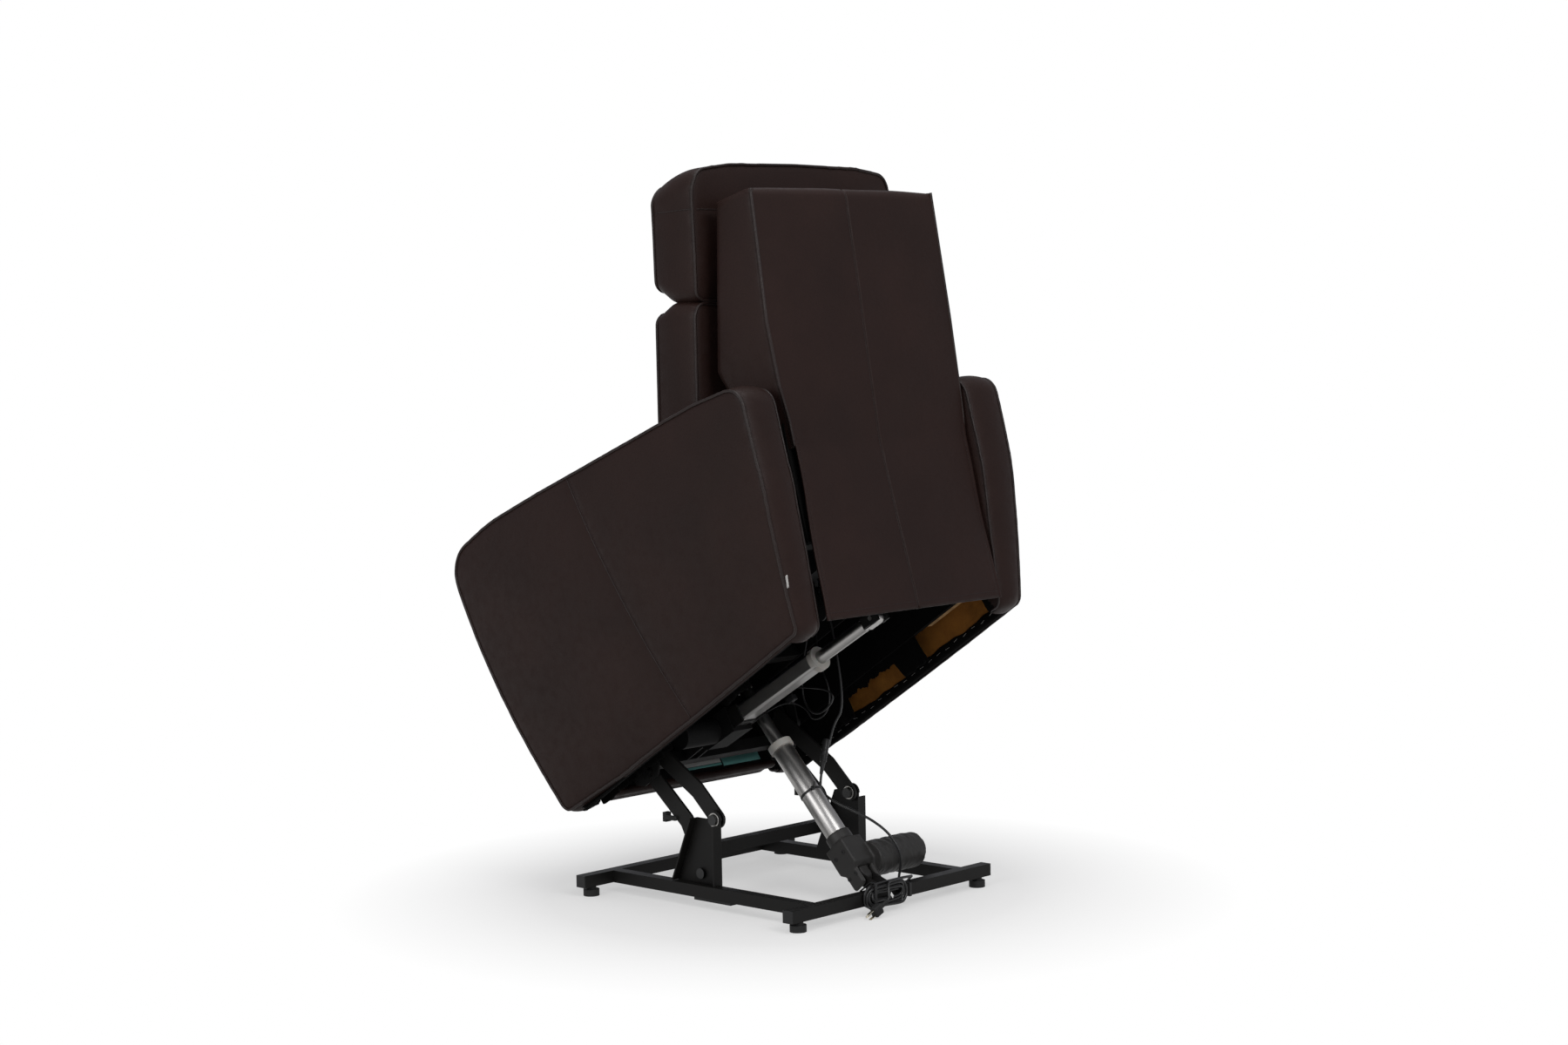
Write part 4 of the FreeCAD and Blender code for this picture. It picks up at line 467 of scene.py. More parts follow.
class Finish:
    # One procedural material and a short way to add nodes to it
    def __init__(self, name):
        self.material = bpy.data.materials.new(name)
        self.material.use_nodes = True
        self.tree = self.material.node_tree
        self.shader = self.tree.nodes["Principled BSDF"]
        self.place = self.add("TexCoord").outputs["Object"]

    def add(self, kind, links=None, **values):
        made = self.tree.nodes.new("ShaderNode" + kind)
        for key, value in values.items():
            setattr(made, key, value)
        for key, value in (links or {}).items():
            if isinstance(value, bpy.types.NodeSocket):
                self.tree.links.new(value, made.inputs[key])
            else:
                made.inputs[key].default_value = value
        return made

    def constant(self, **values):
        for key, value in values.items():
            self.shader.inputs[key.replace("_", " ")].default_value = value

    def scaled(self, scale, turn=(0, 0, 0)):
        return self.add("Mapping", {"Vector": self.place, "Scale": scale, "Rotation": turn}).outputs[0]

    def noise(self, scale, detail=4.0, rough=0.55, where=None):
        return self.add("TexNoise", {"Vector": where or self.place, "Scale": scale, "Detail": detail,
                                     "Roughness": rough}).outputs["Fac"]

    def cells(self, scale, feature):
        return self.add("TexVoronoi", {"Vector": self.place, "Scale": scale}, feature=feature).outputs["Distance"]

    def worn_edge(self, radius):
        return self.add("Bevel", {"Radius": radius}, samples=4).outputs["Normal"]

    def ramp(self, value, low, high, a=0.3, b=0.7):
        made = self.add("ValToRGB", {"Fac": value})
        for element, colour, position in zip(made.color_ramp.elements, (low, high), (a, b)):
            element.position, element.color = position, (*colour, 1)
        return made.outputs["Color"]

    def range(self, value, low, high, a=0.3, b=0.7):
        return self.add("MapRange", {"Value": value, "From Min": a, "From Max": b, "To Min": low,
                                     "To Max": high}).outputs["Result"]

    def blend(self, share, a, b):
        # The colour inputs of a mix node are its seventh and eighth
        links = {0: share, 6: a, 7: b}
        links = {key: (*value, 1) if isinstance(value, tuple) else value for key, value in links.items()}
        return self.add("Mix", links, data_type="RGBA", blend_type="MIX").outputs[2]

    def bump(self, height, strength, distance, under=None):
        links = {"Height": height, "Strength": strength, "Distance": distance}
        if under is not None:
            links["Normal"] = under
        return self.add("Bump", links).outputs["Normal"]

    def end(self, colour, rough, normal=None):
        for key, socket in (("Base Color", colour), ("Roughness", rough), ("Normal", normal)):
            if socket is not None:
                self.tree.links.new(socket, self.shader.inputs[key])
        return self.material


def tone(colour, factor):
    return tuple(c * factor for c in colour)


def leather(name, colour, grain=520.0, shine=0.5, gloss=0.13):
    # Corrected-grain hide: small pebbles, soft creases and slow changes of tone
    f = Finish(name)
    pebble = f.cells(grain, "SMOOTH_F1")
    crease = f.noise(46.0, 5.0, 0.62)
    hide = f.ramp(f.noise(5.5, 3.0, 0.5), tone(colour, 0.86), tone(colour, 1.16), 0.32, 0.7)
    pores = f.blend(f.range(pebble, 0.0, 0.35, 0.35, 0.75), hide, tone(colour, 0.55))
    surface = f.bump(pebble, 0.34, 0.00045, f.bump(crease, 0.16, 0.0016))
    surface = f.bump(f.noise(grain * 2.4, 3.0), 0.12, 0.0002, surface)
    f.constant(Specular_IOR_Level=gloss)
    return f.end(pores, f.range(crease, shine - 0.06, shine + 0.1, 0.35, 0.68), surface)


def coated_steel(name, colour, rough=0.46):
    # Powder coat with a faint orange peel and dust in the broad areas
    f = Finish(name)
    slow = f.noise(14.0, 5.0, 0.6)
    coat = f.ramp(slow, tone(colour, 0.78), tone(colour, 1.35), 0.3, 0.74)
    f.constant(Specular_IOR_Level=0.19)
    peel = f.bump(f.noise(900.0, 2.0, 0.5), 0.1, 0.0003, f.worn_edge(0.0011))
    return f.end(coat, f.range(slow, rough - 0.05, rough + 0.12), peel)


def brushed_metal(name, colour, rough):
    # Drawn metal: long fine lines along the piece, a few scuffs
    f = Finish(name)
    lines = f.noise(6.0, 6.0, 0.5, f.scaled((260.0, 260.0, 9.0), (1.0, 0.0, 0.0)))
    f.constant(Metallic=1.0)
    return f.end(f.ramp(lines, tone(colour, 0.95), tone(colour, 1.03)),
                 f.range(f.noise(38.0, 6.0, 0.65), rough - 0.02, rough + 0.04))


def moulded(name, colour, rough=0.4, grain=1400.0, soft=0.0, gloss=0.3):
    # Moulded plastic or rubber with a fine spark finish
    f = Finish(name)
    slow = f.noise(21.0, 4.0)
    body = f.ramp(slow, tone(colour, 0.88), tone(colour, 1.12), 0.3, 0.72)
    f.constant(Specular_IOR_Level=gloss, Subsurface_Weight=soft, Subsurface_Scale=0.004)
    spark = f.bump(f.noise(grain, 2.0), 0.12, 0.0003, f.worn_edge(0.0009))
    return f.end(body, f.range(slow, rough - 0.04, rough + 0.08), spark)


def board(name, colour):
    # Pressed fibre board, blotchy, with short fibres
    f = Finish(name)
    fibre = f.noise(9.0, 7.0, 0.7, f.scaled((42.0, 42.0, 42.0)))
    stain = f.ramp(f.noise(16.0, 6.0, 0.66), tone(colour, 0.5), tone(colour, 1.25), 0.28, 0.74)
    f.constant(Specular_IOR_Level=0.2)
    return f.end(f.blend(f.range(fibre, 0.0, 0.6, 0.4, 0.7), stain, tone(colour, 0.62)),
                 f.range(fibre, 0.7, 0.92), f.bump(fibre, 0.3, 0.0006))


def timber(name, colour):
    # Softwood: growth rings stretched along the piece
    f = Finish(name)
    rings = f.add("TexWave", {"Vector": f.scaled((3.0, 42.0, 3.0), (0.0, 0.2, 0.1)), "Scale": 1.6,
                              "Distortion": 6.0, "Detail": 3.0}).outputs["Fac"]
    f.constant(Specular_IOR_Level=0.25)
    return f.end(f.ramp(rings, tone(colour, 0.72), tone(colour, 1.1), 0.1, 0.9),
                 f.range(f.noise(320.0, 3.0), 0.55, 0.75), f.bump(rings, 0.12, 0.0005))


def lining(name, colour):
    # Spun lining cloth with a faint square emboss
    f = Finish(name)
    weave = f.cells(620.0, "F1")
    f.constant(Specular_IOR_Level=0.05)
    return f.end(f.blend(f.range(f.noise(140.0, 6.0, 0.7), 0.0, 0.7), colour, tone(colour, 1.9)),
                 f.range(weave, 0.8, 0.96), f.bump(weave, 0.3, 0.0004))


HIDE = (0.0150, 0.0070, 0.0056)
dark_leather = leather("dark_brown_leather", HIDE)
# The piping leather is the hide darkened to seven tenths: painted shade for the crevices along the piping; its higher
# gloss is real shine
piping_leather_painted_shade = leather("piping_leather_painted_shade", tone(HIDE, 0.7), 900.0, 0.44, 0.26)
lining_leather = leather("rear_panel_leather", tone(HIDE, 1.05), 560.0)
seam_thread = moulded("seam_thread", (0.008, 0.004, 0.0035), 0.6, 3000.0)
black_coat = coated_steel("black_powder_coat", (0.0050, 0.0047, 0.0043))
frame_coat = coated_steel("black_frame_coat", (0.0036, 0.0035, 0.0033), 0.55)
satin_aluminium = brushed_metal("satin_aluminium", (0.40, 0.39, 0.38), 0.37)
drawn_rod = brushed_metal("drawn_rod", (0.30, 0.295, 0.29), 0.3)
zinc_steel = brushed_metal("zinc_plated_steel", (0.42, 0.41, 0.39), 0.36)
dark_zinc = brushed_metal("dark_bolt_steel", (0.05, 0.05, 0.05), 0.4)
pale_nylon = moulded("pale_nylon", (0.52, 0.50, 0.46), 0.36, 1100.0, 0.1)
matte_plastic = moulded("matte_black_plastic", (0.005, 0.005, 0.005), 0.6, 1400.0, 0.0, 0.12)
black_plastic = moulded("black_plastic", (0.012, 0.012, 0.0125), 0.42)
motor_cover = moulded("motor_cover_black", (0.021, 0.020, 0.019), 0.5, 500.0)
black_rubber = moulded("black_rubber", (0.011, 0.011, 0.011), 0.62, 700.0)
cord_skin = moulded("cord_pvc_black", (0.0075, 0.0075, 0.0076), 0.34, 1600.0, 0.0, 0.4)
fibre_board = board("brown_fibre_board", (0.36, 0.145, 0.026))
pine = timber("pine_frame", (0.48, 0.30, 0.14))
black_lining = lining("black_lining", (0.0024, 0.0023, 0.0022))
blade_brass = brushed_metal("blade_nickel", (0.62, 0.58, 0.48), 0.25)
ring_teal = moulded("pale_thrust_ring", (0.22, 0.33, 0.36), 0.4)
plate_white = moulded("bare_plate_white", (0.55, 0.55, 0.53), 0.5)
plate_teal = moulded("bare_plate_teal", (0.10, 0.26, 0.24), 0.5)
plate_ochre = moulded("bare_plate_ochre", (0.42, 0.20, 0.03), 0.5)
paper = moulded("blank_paper", (0.72, 0.72, 0.70), 0.6)
tag_cloth = lining("tag_cloth", (0.30, 0.29, 0.28))

# The record's material slot of a piece with each finish
NODE_FINISH = (
    (black_coat, "base_front_rail base_rear_rail base_side_rail_left base_side_rail_right lift_bracket_left "
                 "lift_bracket_right rear_lift_link_left rear_lift_link_right front_lift_link_left "
                 "front_lift_link_right lift_cross_tube lift_motor_clevis"),
    (frame_coat, "recline_front_mount seat_side_plate_left seat_side_plate_right seat_cross_rails lift_top_mount "
                 "back_hinge_arms footrest_cranks footrest_links footrest_push_rods"),
    (black_plastic, "rail_end_caps lift_gearbox handset_case control_box cable_connector cable_tie cord_straps"),
    (black_rubber, "leveling_feet rail_pads link_bumpers power_plug"),
    (dark_zinc, "base_pivot_pins chair_pivot_pins"),
    (satin_aluminium, "lift_outer_tube recline_outer_tube recline_inner_tube"),
    (pale_nylon, "lift_tube_collar recline_tube_collar lift_key recline_key"),
    (drawn_rod, "lift_inner_tube"), (matte_plastic, "recline_gearmotor"), (motor_cover, "lift_motor_can"),
    (black_lining, "back_frame seat_deck footrest_board"), (fibre_board, "arm_board_left arm_board_right"),
    (cord_skin, "control_cable power_cord_lead power_cord_hank power_cord_ends"),
)
for finish, labels in NODE_FINISH:
    for mesh in (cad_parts[label].data for label in labels.split()):
        mesh.materials.clear()
        mesh.materials.append(finish)
        mesh.polygons.foreach_set("material_index", [0] * len(mesh.polygons))


def dress(piece, finish, body, *nodes, slot=None):
    piece.data.materials.clear()
    piece.data.materials.append(finish)
    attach(piece, body)
    if nodes:
        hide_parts(*nodes)
    return piece


# Piping cords in the darker piping leather, whose colour is painted crevice shade
def piped(name, line, body, radius=0.0032, closed=True):
    dress(welt(name, line, radius, closed), piping_leather_painted_shade, body)


# A thin cord of the darkened piping leather laid on the cover along a sewn line: painted shade for a seam groove that
# the coarse cover can't show
def painted_seam_shade(name, cover, line, body):
    piped(name, on_cover(cover, line, 0.0001), body, 0.0010, closed=False)


def cushion(name, outline, low, high, crowns, boxing, place, centre, voxel, cap, body, node, seams=()):
    # A leather pad, blown up, in place of its solid
    piece, loops = pillow(name, outline, low, high, crowns, boxing, place, centre)
    inflate(piece, loops, seams, voxel, cap)
    dress(piece, dark_leather, body, node)
    return piece, loops


# The camera stands where the photograph was taken from

def camera():
    turn, lift, roll = math.radians(133.4128), math.radians(4.2645), math.radians(-1.1)
    back = Vector((math.sin(turn) * math.cos(lift), -math.cos(turn) * math.cos(lift), math.sin(lift)))
    right = Vector((0, 0, 1)).cross(back).normalized()
    up = back.cross(right)
    across = right * math.cos(roll) + up * math.sin(roll)
    upward = up * math.cos(roll) - right * math.sin(roll)
    lens = bpy.data.cameras.new("photo_camera")
    lens.sensor_width = 36.0
    lens.lens = 3239.0 / 1800.0 * lens.sensor_width
    holder = placed("photo_camera", lens)
    holder.matrix_world = shift(4.2699, 4.0515 + BASE_CENTRE_Y, 1.218) \
        @ Matrix((across, upward, back)).transposed().to_4x4()
    bpy.context.scene.camera = holder


camera()


# Cords: the points of each route are the control points of one smooth spline

CORD_RADIUS = 0.00275


def cord_piece(name, route, body, *nodes, radius=CORD_RADIUS):
    curve = bpy.data.curves.new(name, "CURVE")
    curve.dimensions, curve.resolution_u, curve.use_fill_caps = "3D", 10, True
    curve.bevel_depth, curve.bevel_resolution = radius, 4
    spline = curve.splines.new("NURBS")
    spline.points.add(len(route) - 1)
    for point, place in zip(spline.points, route):
        point.co = (*place, 1.0)
    spline.order_u, spline.use_endpoint_u = 3, True
    return dress(placed(name, curve), cord_skin, body, *nodes)


LEAD = [(-52, 62, 272), (-40, 66, 243), (-32.5, 71, 214), (-38, 106, 194), (-52, 148, 178), (-67, 186, 160),
        (-79, 219, 136), (-85, 243, 104), (-87, 247, 76), (-87, 240, 52)]
DROP = [(-87, 239.9, 51.65), (-87, 236.4, 38.5), (-85, 246, 29), (-82, 262, 33), (-76, 276, 48), (-65, 293, 57),
        (-47, 306, 61), (-22, 307.15, 62.4), (0, 307.15, 62.4)]
TAIL = [(14.8, 313.35, 62.4), (27.8, 313.35, 62.4), (40, 320, 60.4), (46, 327, 45.4), (49.4, 331, 31.9),
        (66, 331, 25)]
CABLE = [(-78.0, -48.95, -30.29), (-93.17, -33.07, 3.14), (-107.2, 15.39, 26.15), (-108, 99, 248), (-108, 99, 287)]
CONNECTOR_TOP = (-71.2, 55.6, 318.4)
PLUG_START, PLUG_END = (66, 331, 25), (114, 331, 5)
HANK_CENTRE = (37.0, 307.15, 39.5)
HANK_RADII = (22.9, 19.8, 16.7, 13.6, 10.5, 7.4)
HANK_LAYER = 6.2


def hank_turns():
    # The loops spiral in on the layer by the rail, and out again behind it, the outer ones a little longer
    points, height, side = [], HANK_RADII[0], 1
    for layer, radii in enumerate((HANK_RADII, HANK_RADII[::-1])):
        for number, radius in enumerate(radii):
            out = 37.0 + (radius - HANK_RADII[-1]) * 0.08
            points.append((0.0, HANK_LAYER / 2 if layer and not number else HANK_LAYER * layer, height))
            middle = height - side * radius
            reach = radius / math.cos(math.radians(15)) + 1.3 * math.sin(2.7 * number + 1.3 * layer)
            for a in map(math.radians, (75, 45, 15, -15, -45, -75)):
                sway = 3.2 * math.sin(a + 0.7 * number + 2.3 * layer)
                points.append((side * (out + reach * math.cos(a)), HANK_LAYER * layer + sway,
                               middle + side * reach * math.sin(a) + 1.6 * math.sin(2.1 * number + layer)))
            height = middle - side * radius
            side = -side
    return [tuple(np.add(p, HANK_CENTRE)) for p in points]


def mains_plug():
    # A moulded plug with a ribbed strain relief, two blades and a round pin
    relief = [(3.2, -14), (3.4, -12)]
    for rib in range(6):
        low, crest, root = -11 + rib * 3.4, 4.3 + rib * 0.12, 3.6 + rib * 0.14
        relief += [(crest, low), (crest, low + 1.7), (root, low + 2.2), (root, low + 3.2)]
    sleeve = turned("plug_relief", [(r / 1000, z / 1000) for r, z in relief + [(4.8, 11), (4.8, 13)]], 28)
    body = block("plug_body", (-0.008, -0.011, 0.012), (0.008, 0.011, 0.034), 0.0028, 4)
    grip = [block(f"plug_grip_{i}", (-0.0086, -0.0075, 0.0165 + i * 0.004), (0.0086, 0.0075, 0.0183 + i * 0.004),
                  0.0005) for i in range(4)]
    face = block("plug_face", (-0.0065, -0.0095, 0.0335), (0.0065, 0.0095, 0.0348), 0.0005)
    rubber = smooth_sides(join("power_plug_body", [sleeve, body, face] + grip))
    blades = [block(f"blade_{i}", (-0.0022, y - 0.00075, 0.0346), (0.0041, y + 0.00075, 0.051), 0.0004)
              for i, y in enumerate((-0.00635, 0.00635))]
    pin = settle(turned("earth_pin", [(0.0024, 0.0346), (0.0024, 0.0505), (0.0018, 0.052)], 20),
                 shift(-0.0052, 0, 0))
    contacts = join("power_plug_contacts", blades + [pin])
    place = towards(on_base(PLUG_START), on_base(PLUG_END))
    return [dress(settle(rubber, place), black_rubber, "base", "power_plug"),
            dress(settle(contacts, place), blade_brass, "base")]


def connector():
    # A two-part plug connector with a ribbed grip and tapered reliefs at both ends
    start, end = on_base(LEAD[0]), on_base(CONNECTOR_TOP)
    length = float(np.linalg.norm(end - start)) * 1000
    profile = [(3.0, -26), (3.6, -24), (4.6, -8), (5.6, 0), (7.4, 2)]
    for low in (4, 7, 10, 13):
        profile += [(7.4, low), (6.8, low + 0.5), (6.8, low + 1.4), (7.4, low + 1.9)]
    profile += [(7.6, 17), (8.0, 19), (8.0, 24), (7.0, 24.6), (7.0, 26), (7.7, 26.6), (7.7, length - 3),
                (6.4, length - 0.4)]
    shell = turned("connector_shell", [(r / 1000, z / 1000) for r, z in profile], 32)
    dress(settle(shell, towards(start, end)), black_plastic, "lift_motor", "cable_connector")


power_lead = cord_piece("power_lead", on_base(LEAD), "lift_motor", "power_cord_lead")
power_cord = cord_piece("power_cord", on_base(DROP + hank_turns() + TAIL), "base", "power_cord_ends",
                        "power_cord_hank")
control_cable = cord_piece("control_wire", raised(CABLE), "chair", "control_cable")
plug_pieces = mains_plug()
connector()


# Arms: an outer panel, a boxing strip over the top, rear and front, and an inner panel

ARM_OUTLINE = [(372, 50), (489, 316), (549, 504), (420, 541), (170, 591), (-60, 638), (-246, 672), (-368, 673),
               (-405, 634), (-414, 470), (-418, 302), (-418, 63), (-228, 50), (37, 48), (200, 48)]
ARM_RADII = [16, 200, 40, 300, 900, 900, 500, 60, 60, 900, 900, 16, 900, 900, 900]
ARM_INNER_X = 273


def arm_outer_x(y, z):
    t = np.clip((z - 50) / 560, -0.05, 1.15)
    return 344 + 112 * t - 74 * t ** 2


def arm_inner_x(low, rise):
    # The inner face turns outward at its rear edge, more so higher up
    return lambda y, z: ARM_INNER_X + np.clip((y - 290) / 180, 0, 1) * (low + rise * np.clip((z - 60) / 300, 0, 1))


def hollow_out(piece, sign, inner, outer, low, high):
    # Cut a box out of the cover, in the chair's own frame, and line the cut with cloth
    left, right = sorted((sign * inner, sign * outer))
    tool = block("hollow_tool", [v / 1000 for v in (left, *low)], [v / 1000 for v in (right, *high)], 0.0001, 1)
    settle(tool, CHAIR_FRAME).data.materials.append(black_lining)
    cut_away(piece, tool, material_mode="TRANSFER")


def line_inside(piece):
    # The side that faces the mechanism is lining cloth up to the seat
    to_chair = CHAIR_FRAME.inverted()
    cloth = piece.data.materials.find(black_lining.name)
    for face in piece.data.polygons:
        spot = to_chair @ face.center
        if abs(spot.x) < 0.281 and spot.y < 0.352 and spot.z < 0.345:
            face.material_index = cloth


def arm(word, sign):
    seam_z = np.linspace(52, 628, 60)
    seam_y = 21 + 4 * np.sin((seam_z - 50) / 600 * math.pi)
    seam = seated(sign * (arm_outer_x(seam_y, seam_z) + 3.5), seam_y, seam_z)
    # The left arm stands further off the back than the right one
    inner_x = arm_inner_x(8, 14) if sign > 0 else arm_inner_x(3, 9)
    piece, loops = cushion(f"arm_cover_{word}", rounded(ARM_OUTLINE, ARM_RADII), inner_x, arm_outer_x, (1.0, 5.0), 7.0,
                           lambda y, z, x: seated(sign * x, y, z), (20, 350), 0.0065, 0.009, "chair", f"arm_{word}",
                           [seam])
    hollow_out(piece, sign, 282, 331.9, (-385, -40), (338, 334))
    hollow_out(piece, sign, 250, 291, (-383.5, -52), (336.5, 112))
    line_inside(piece)
    smooth_sides(piece, 50)
    piped(f"arm_high_piping_{word}", on_cover(piece, loops["high"], 0.0014), "chair")
    # The inner piping ends where the cover is open below
    _, y, z = np.array([CHAIR_FRAME.inverted() @ Vector(p) for p in loops["low"]]).T
    sewn = ~((z < 0.080) & (y > -0.386) & (y < 0.340))
    first = int(np.nonzero(sewn & ~np.roll(sewn, 1))[0][0])
    run = np.roll(loops["low"], -first, axis=0)[np.roll(sewn, -first)]
    piped(f"arm_low_piping_{word}", on_cover(piece, run, 0.0012), "chair", 0.0027, closed=False)
    # The side seam is drawn as a thin dark cord on the cover: painted seam shade
    painted_seam_shade(f"arm_side_seam_shade_{word}", piece, seam, "chair")
    thread = on_cover(piece, seam + np.array([0.0, 0.0046, 0.003]), 0.0002)
    dress(stitches(f"arm_seam_stitching_{word}", thread), seam_thread, "chair")


HEM_SECTION = [(335.5, 48.6), (332, 47.2), (328, 47.0), (323, 47.2), (319.4, 49), (318.9, 54), (318.7, 60)]
# The lining is torn off short between these two tears
FRONT_TEAR, REAR_TEAR = (-132, -116), (38, 50)


def arm_hem(word, sign):
    # The cover's lower edge is turned in over the board and stapled there
    rows = []
    for y in np.linspace(-382, 335, 150):
        ripple = 0.5 * math.sin(y / 11.0 + 2 * sign)
        section = HEM_SECTION + [(318.4, 67 + 5 * wander_along(y / 400, sign))]
        rows.append([(sign * (x + (ripple if z > 52 else 0)), y, z) for x, z in section])
    dress(strip(f"arm_hem_{word}", raised(rows), 0.0014), black_lining, "chair")
    staples = []
    for number, y in enumerate(np.arange(-360, 330, 29)):
        staple = block("staple", (-0.006, -0.00045, -0.00035), (0.006, 0.00045, 0.00045), 0.0002, 1)
        lean = Matrix.Rotation(0.35 * wander_along(number * 0.7, 3 + sign), 4, "Y")
        spot = shift(sign * 0.3172, y / 1000, 0.0585 + 0.003 * wander_along(number, 5))
        staples.append(settle(staple, CHAIR_FRAME @ spot @ spin(90, "Z") @ lean))
    dress(join(f"arm_staples_{word}", staples), zinc_steel, "chair")


def arm_boards(word, sign):
    # The left board is covered with lining, the right one shows
    left, right = sorted((sign * 0.320, sign * 0.332))
    panel = block(f"arm_panel_{word}", (left, -0.379, 0.0520), (right, 0.337, 0.335), 0.0006, 1)
    dress(settle(panel, CHAIR_FRAME), fibre_board if sign < 0 else black_lining, "chair", f"arm_board_{word}",
          slot="lining_board")
    if sign < 0:
        batten = block("arm_batten_right", (-0.3005, 0.165, 0.1125), (-0.2825, 0.326, 0.1405), 0.0012)
        dress(settle(batten, CHAIR_FRAME), pine, "chair")


def arm_flap(word, sign):
    # Lining hangs from the inner wall, torn off short in the middle and full length on both sides of it
    drape = []
    for t in np.linspace(0, 1, 16):
        row = []
        for y in np.linspace(-380, 128, 170):
            short = ease(y, *FRONT_TEAR) * (1 - ease(y, *REAR_TEAR))
            low = 50 + short * (42 + 5 * wander_along(y / 60, 1)) + 2 * wander_along(y / 90, 4)
            wave = (4 * math.sin(y / 13.0) + 2 * math.sin(y / 5.1)) * t
            row.append((sign * (278 + wave), y + 8 * t * t * (1 - short), 118 + (low - 118) * t))
        drape.append(row)
    dress(strip(f"arm_lining_flap_{word}", raised(drape), 0.0009), black_lining, "chair")


SIDES = (("left", 1), ("right", -1))
for word, sign in SIDES:
    arm(word, sign)
for word, sign in SIDES:
    arm_hem(word, sign)
    arm_boards(word, sign)
    arm_flap(word, sign)


# Headrest and back cushion, two boxed pillows with piping round both panels

def flat_at(depth):
    return lambda x, s: depth + 0 * x


def headrest_place(x, up, forward):
    # The front edge drops at the top and tucks in at the bottom
    top = 34 * ease(up, -70, 30) * np.clip(forward / 118, 0, 1) ** 1.4
    tuck = 20 * ease(-up, 160, 226) * ease(forward, 62, 118)
    return pillow_place(x, up - top + tuck, forward)


def lumbar_place(x, up, forward):
    return pillow_place(x, up - 20 * ease(up, -300, -234) * ease(forward, 58, 116), forward)


def back_pillow(name, outline, depth, crowns, centre, seams, cap, node, place):
    seams = [place(*np.array(s, float).T) for s in seams]
    piece, loops = cushion(name, outline, flat_at(0.0), flat_at(depth), crowns, 6.0, place, centre, 0.0055, cap,
                           "backrest", node, seams)
    for edge, word in (("low", "rear"), ("high", "front")):
        piped(f"{name}_piping_{word}", on_cover(piece, loops[edge], 0.0013), "backrest")
    # Each sewn line gets a thin dark cord on the cover: painted seam shade
    for number, line in enumerate(seams):
        painted_seam_shade(f"{name}_seam_{number}", piece, line, "backrest")


HEADREST = [(-291, -229), (291, -229), (297, 0), (280, 34), (190, 46), (0, 49), (-190, 46), (-280, 34), (-297, 0)]
HEADREST_SEAMS = [[(x, -46, t) for t in range(2, 116, 6)] for x in (-295, 295)] \
    + [[(x, -46, -7) for x in range(-290, 291, 6)]]
back_pillow("headrest_cover", rounded(HEADREST, [26, 26, 60, 46, 300, 900, 300, 46, 60]), 116.0, (12.0, 12.0),
            (0, -100), HEADREST_SEAMS, 0.010, "headrest", headrest_place)
back_pillow("back_cushion_cover", rounded([(-296, -596), (296, -596), (296, -232), (-296, -232)], [40, 40, 26, 26]),
            112.0, (12.0, 14.0), (0, -415), [], 0.012, "back_cushion", lumbar_place)


# Rear panel over the back shell, and the side walls of the back

SHELL_PATH = [(388, 58), (491, 392), (699, 860), (605, 889)]
SHELL_LEFT = ([50, 200, 300, 392, 440, 500, 620, 860, 900], [269, 257, 250, 247, 252, 266, 277, 271, 270])
SHELL_RIGHT = ([50, 250, 392, 440, 620, 860, 900], [265, 269, 272, 276, 277, 271, 270])
FLAP_TOP = 430.0
# Columns across half the panel, close together beside the middle seam and near the hems
HALF_PANEL = np.concatenate([[0.0, 0.004, 0.009, 0.016, 0.03, 0.05], np.linspace(0.08, 0.94, 34),
                             [0.955, 0.968, 0.978, 0.986, 0.993, 1.0]])


def shell_half_width(z, side):
    # The hanging flap is a little askew: its left edge stands in from the arm
    return np.interp(z, *(SHELL_LEFT if side > 0 else SHELL_RIGHT))


def rear_panel():
    path = resample(rounded(SHELL_PATH, [0, 120, 10, 0]), 7.0, closed=False)
    tangent = np.gradient(path, axis=0)
    tangent /= np.linalg.norm(tangent, axis=1)[:, None]
    across = np.concatenate([-HALF_PANEL[:0:-1], HALF_PANEL])
    skins = [[], []]
    for (y, z), (ty, tz) in zip(path, tangent):
        half = np.where(across > 0, shell_half_width(z, 1), shell_half_width(z, -1))
        hem = float(ease(np.array(FLAP_TOP - z), 0, 30))
        crown = 4.0 * (1 - across ** 4) - 3.2 * np.exp(-(across / 0.0065) ** 2)
        waves = 0.9 * np.sin(z / 61.0 + across * 3.1) * np.sin(across * 5.3 + z / 143.0)
        thread = -1.5 * np.exp(-((np.abs(across) - 0.972) / 0.006) ** 2) * hem
        sway = 2.5 * hem * math.sin(z / 47.0) * np.abs(across) ** 6
        for skin, push in zip(skins, (3.0 + crown + waves + thread + sway, -7.0 + (6.0 + crown + waves + sway) * hem)):
            skin.append(np.stack([across * half, y + tz * push, z - ty * push], -1))
    outer = np.array(skins[0])
    piece = two_skins("rear_panel_cover", [outer, np.array(skins[1])])
    dress(piece, lining_leather, "backrest", "back_shell")
    # Stitching beside the middle seam and along the hems of the hanging flap
    columns = len(across)
    flap = outer[path[:, 1] < 415]
    lines = [outer[:, columns // 2 + 3], flap[:, 4], flap[:, columns - 5], outer[2][4:columns - 4]]
    threads = [stitches(f"thread_{i}", raised(line)) for i, line in enumerate(lines)]
    dress(join("rear_panel_stitching", threads), seam_thread, "backrest")


rear_panel()

# The front edge of the side wall runs down behind the pillows and bends back under them
GUSSET_FRONT = [(424, 400), (421, 608), (605, 889)]
GUSSET_BEND = 0.32


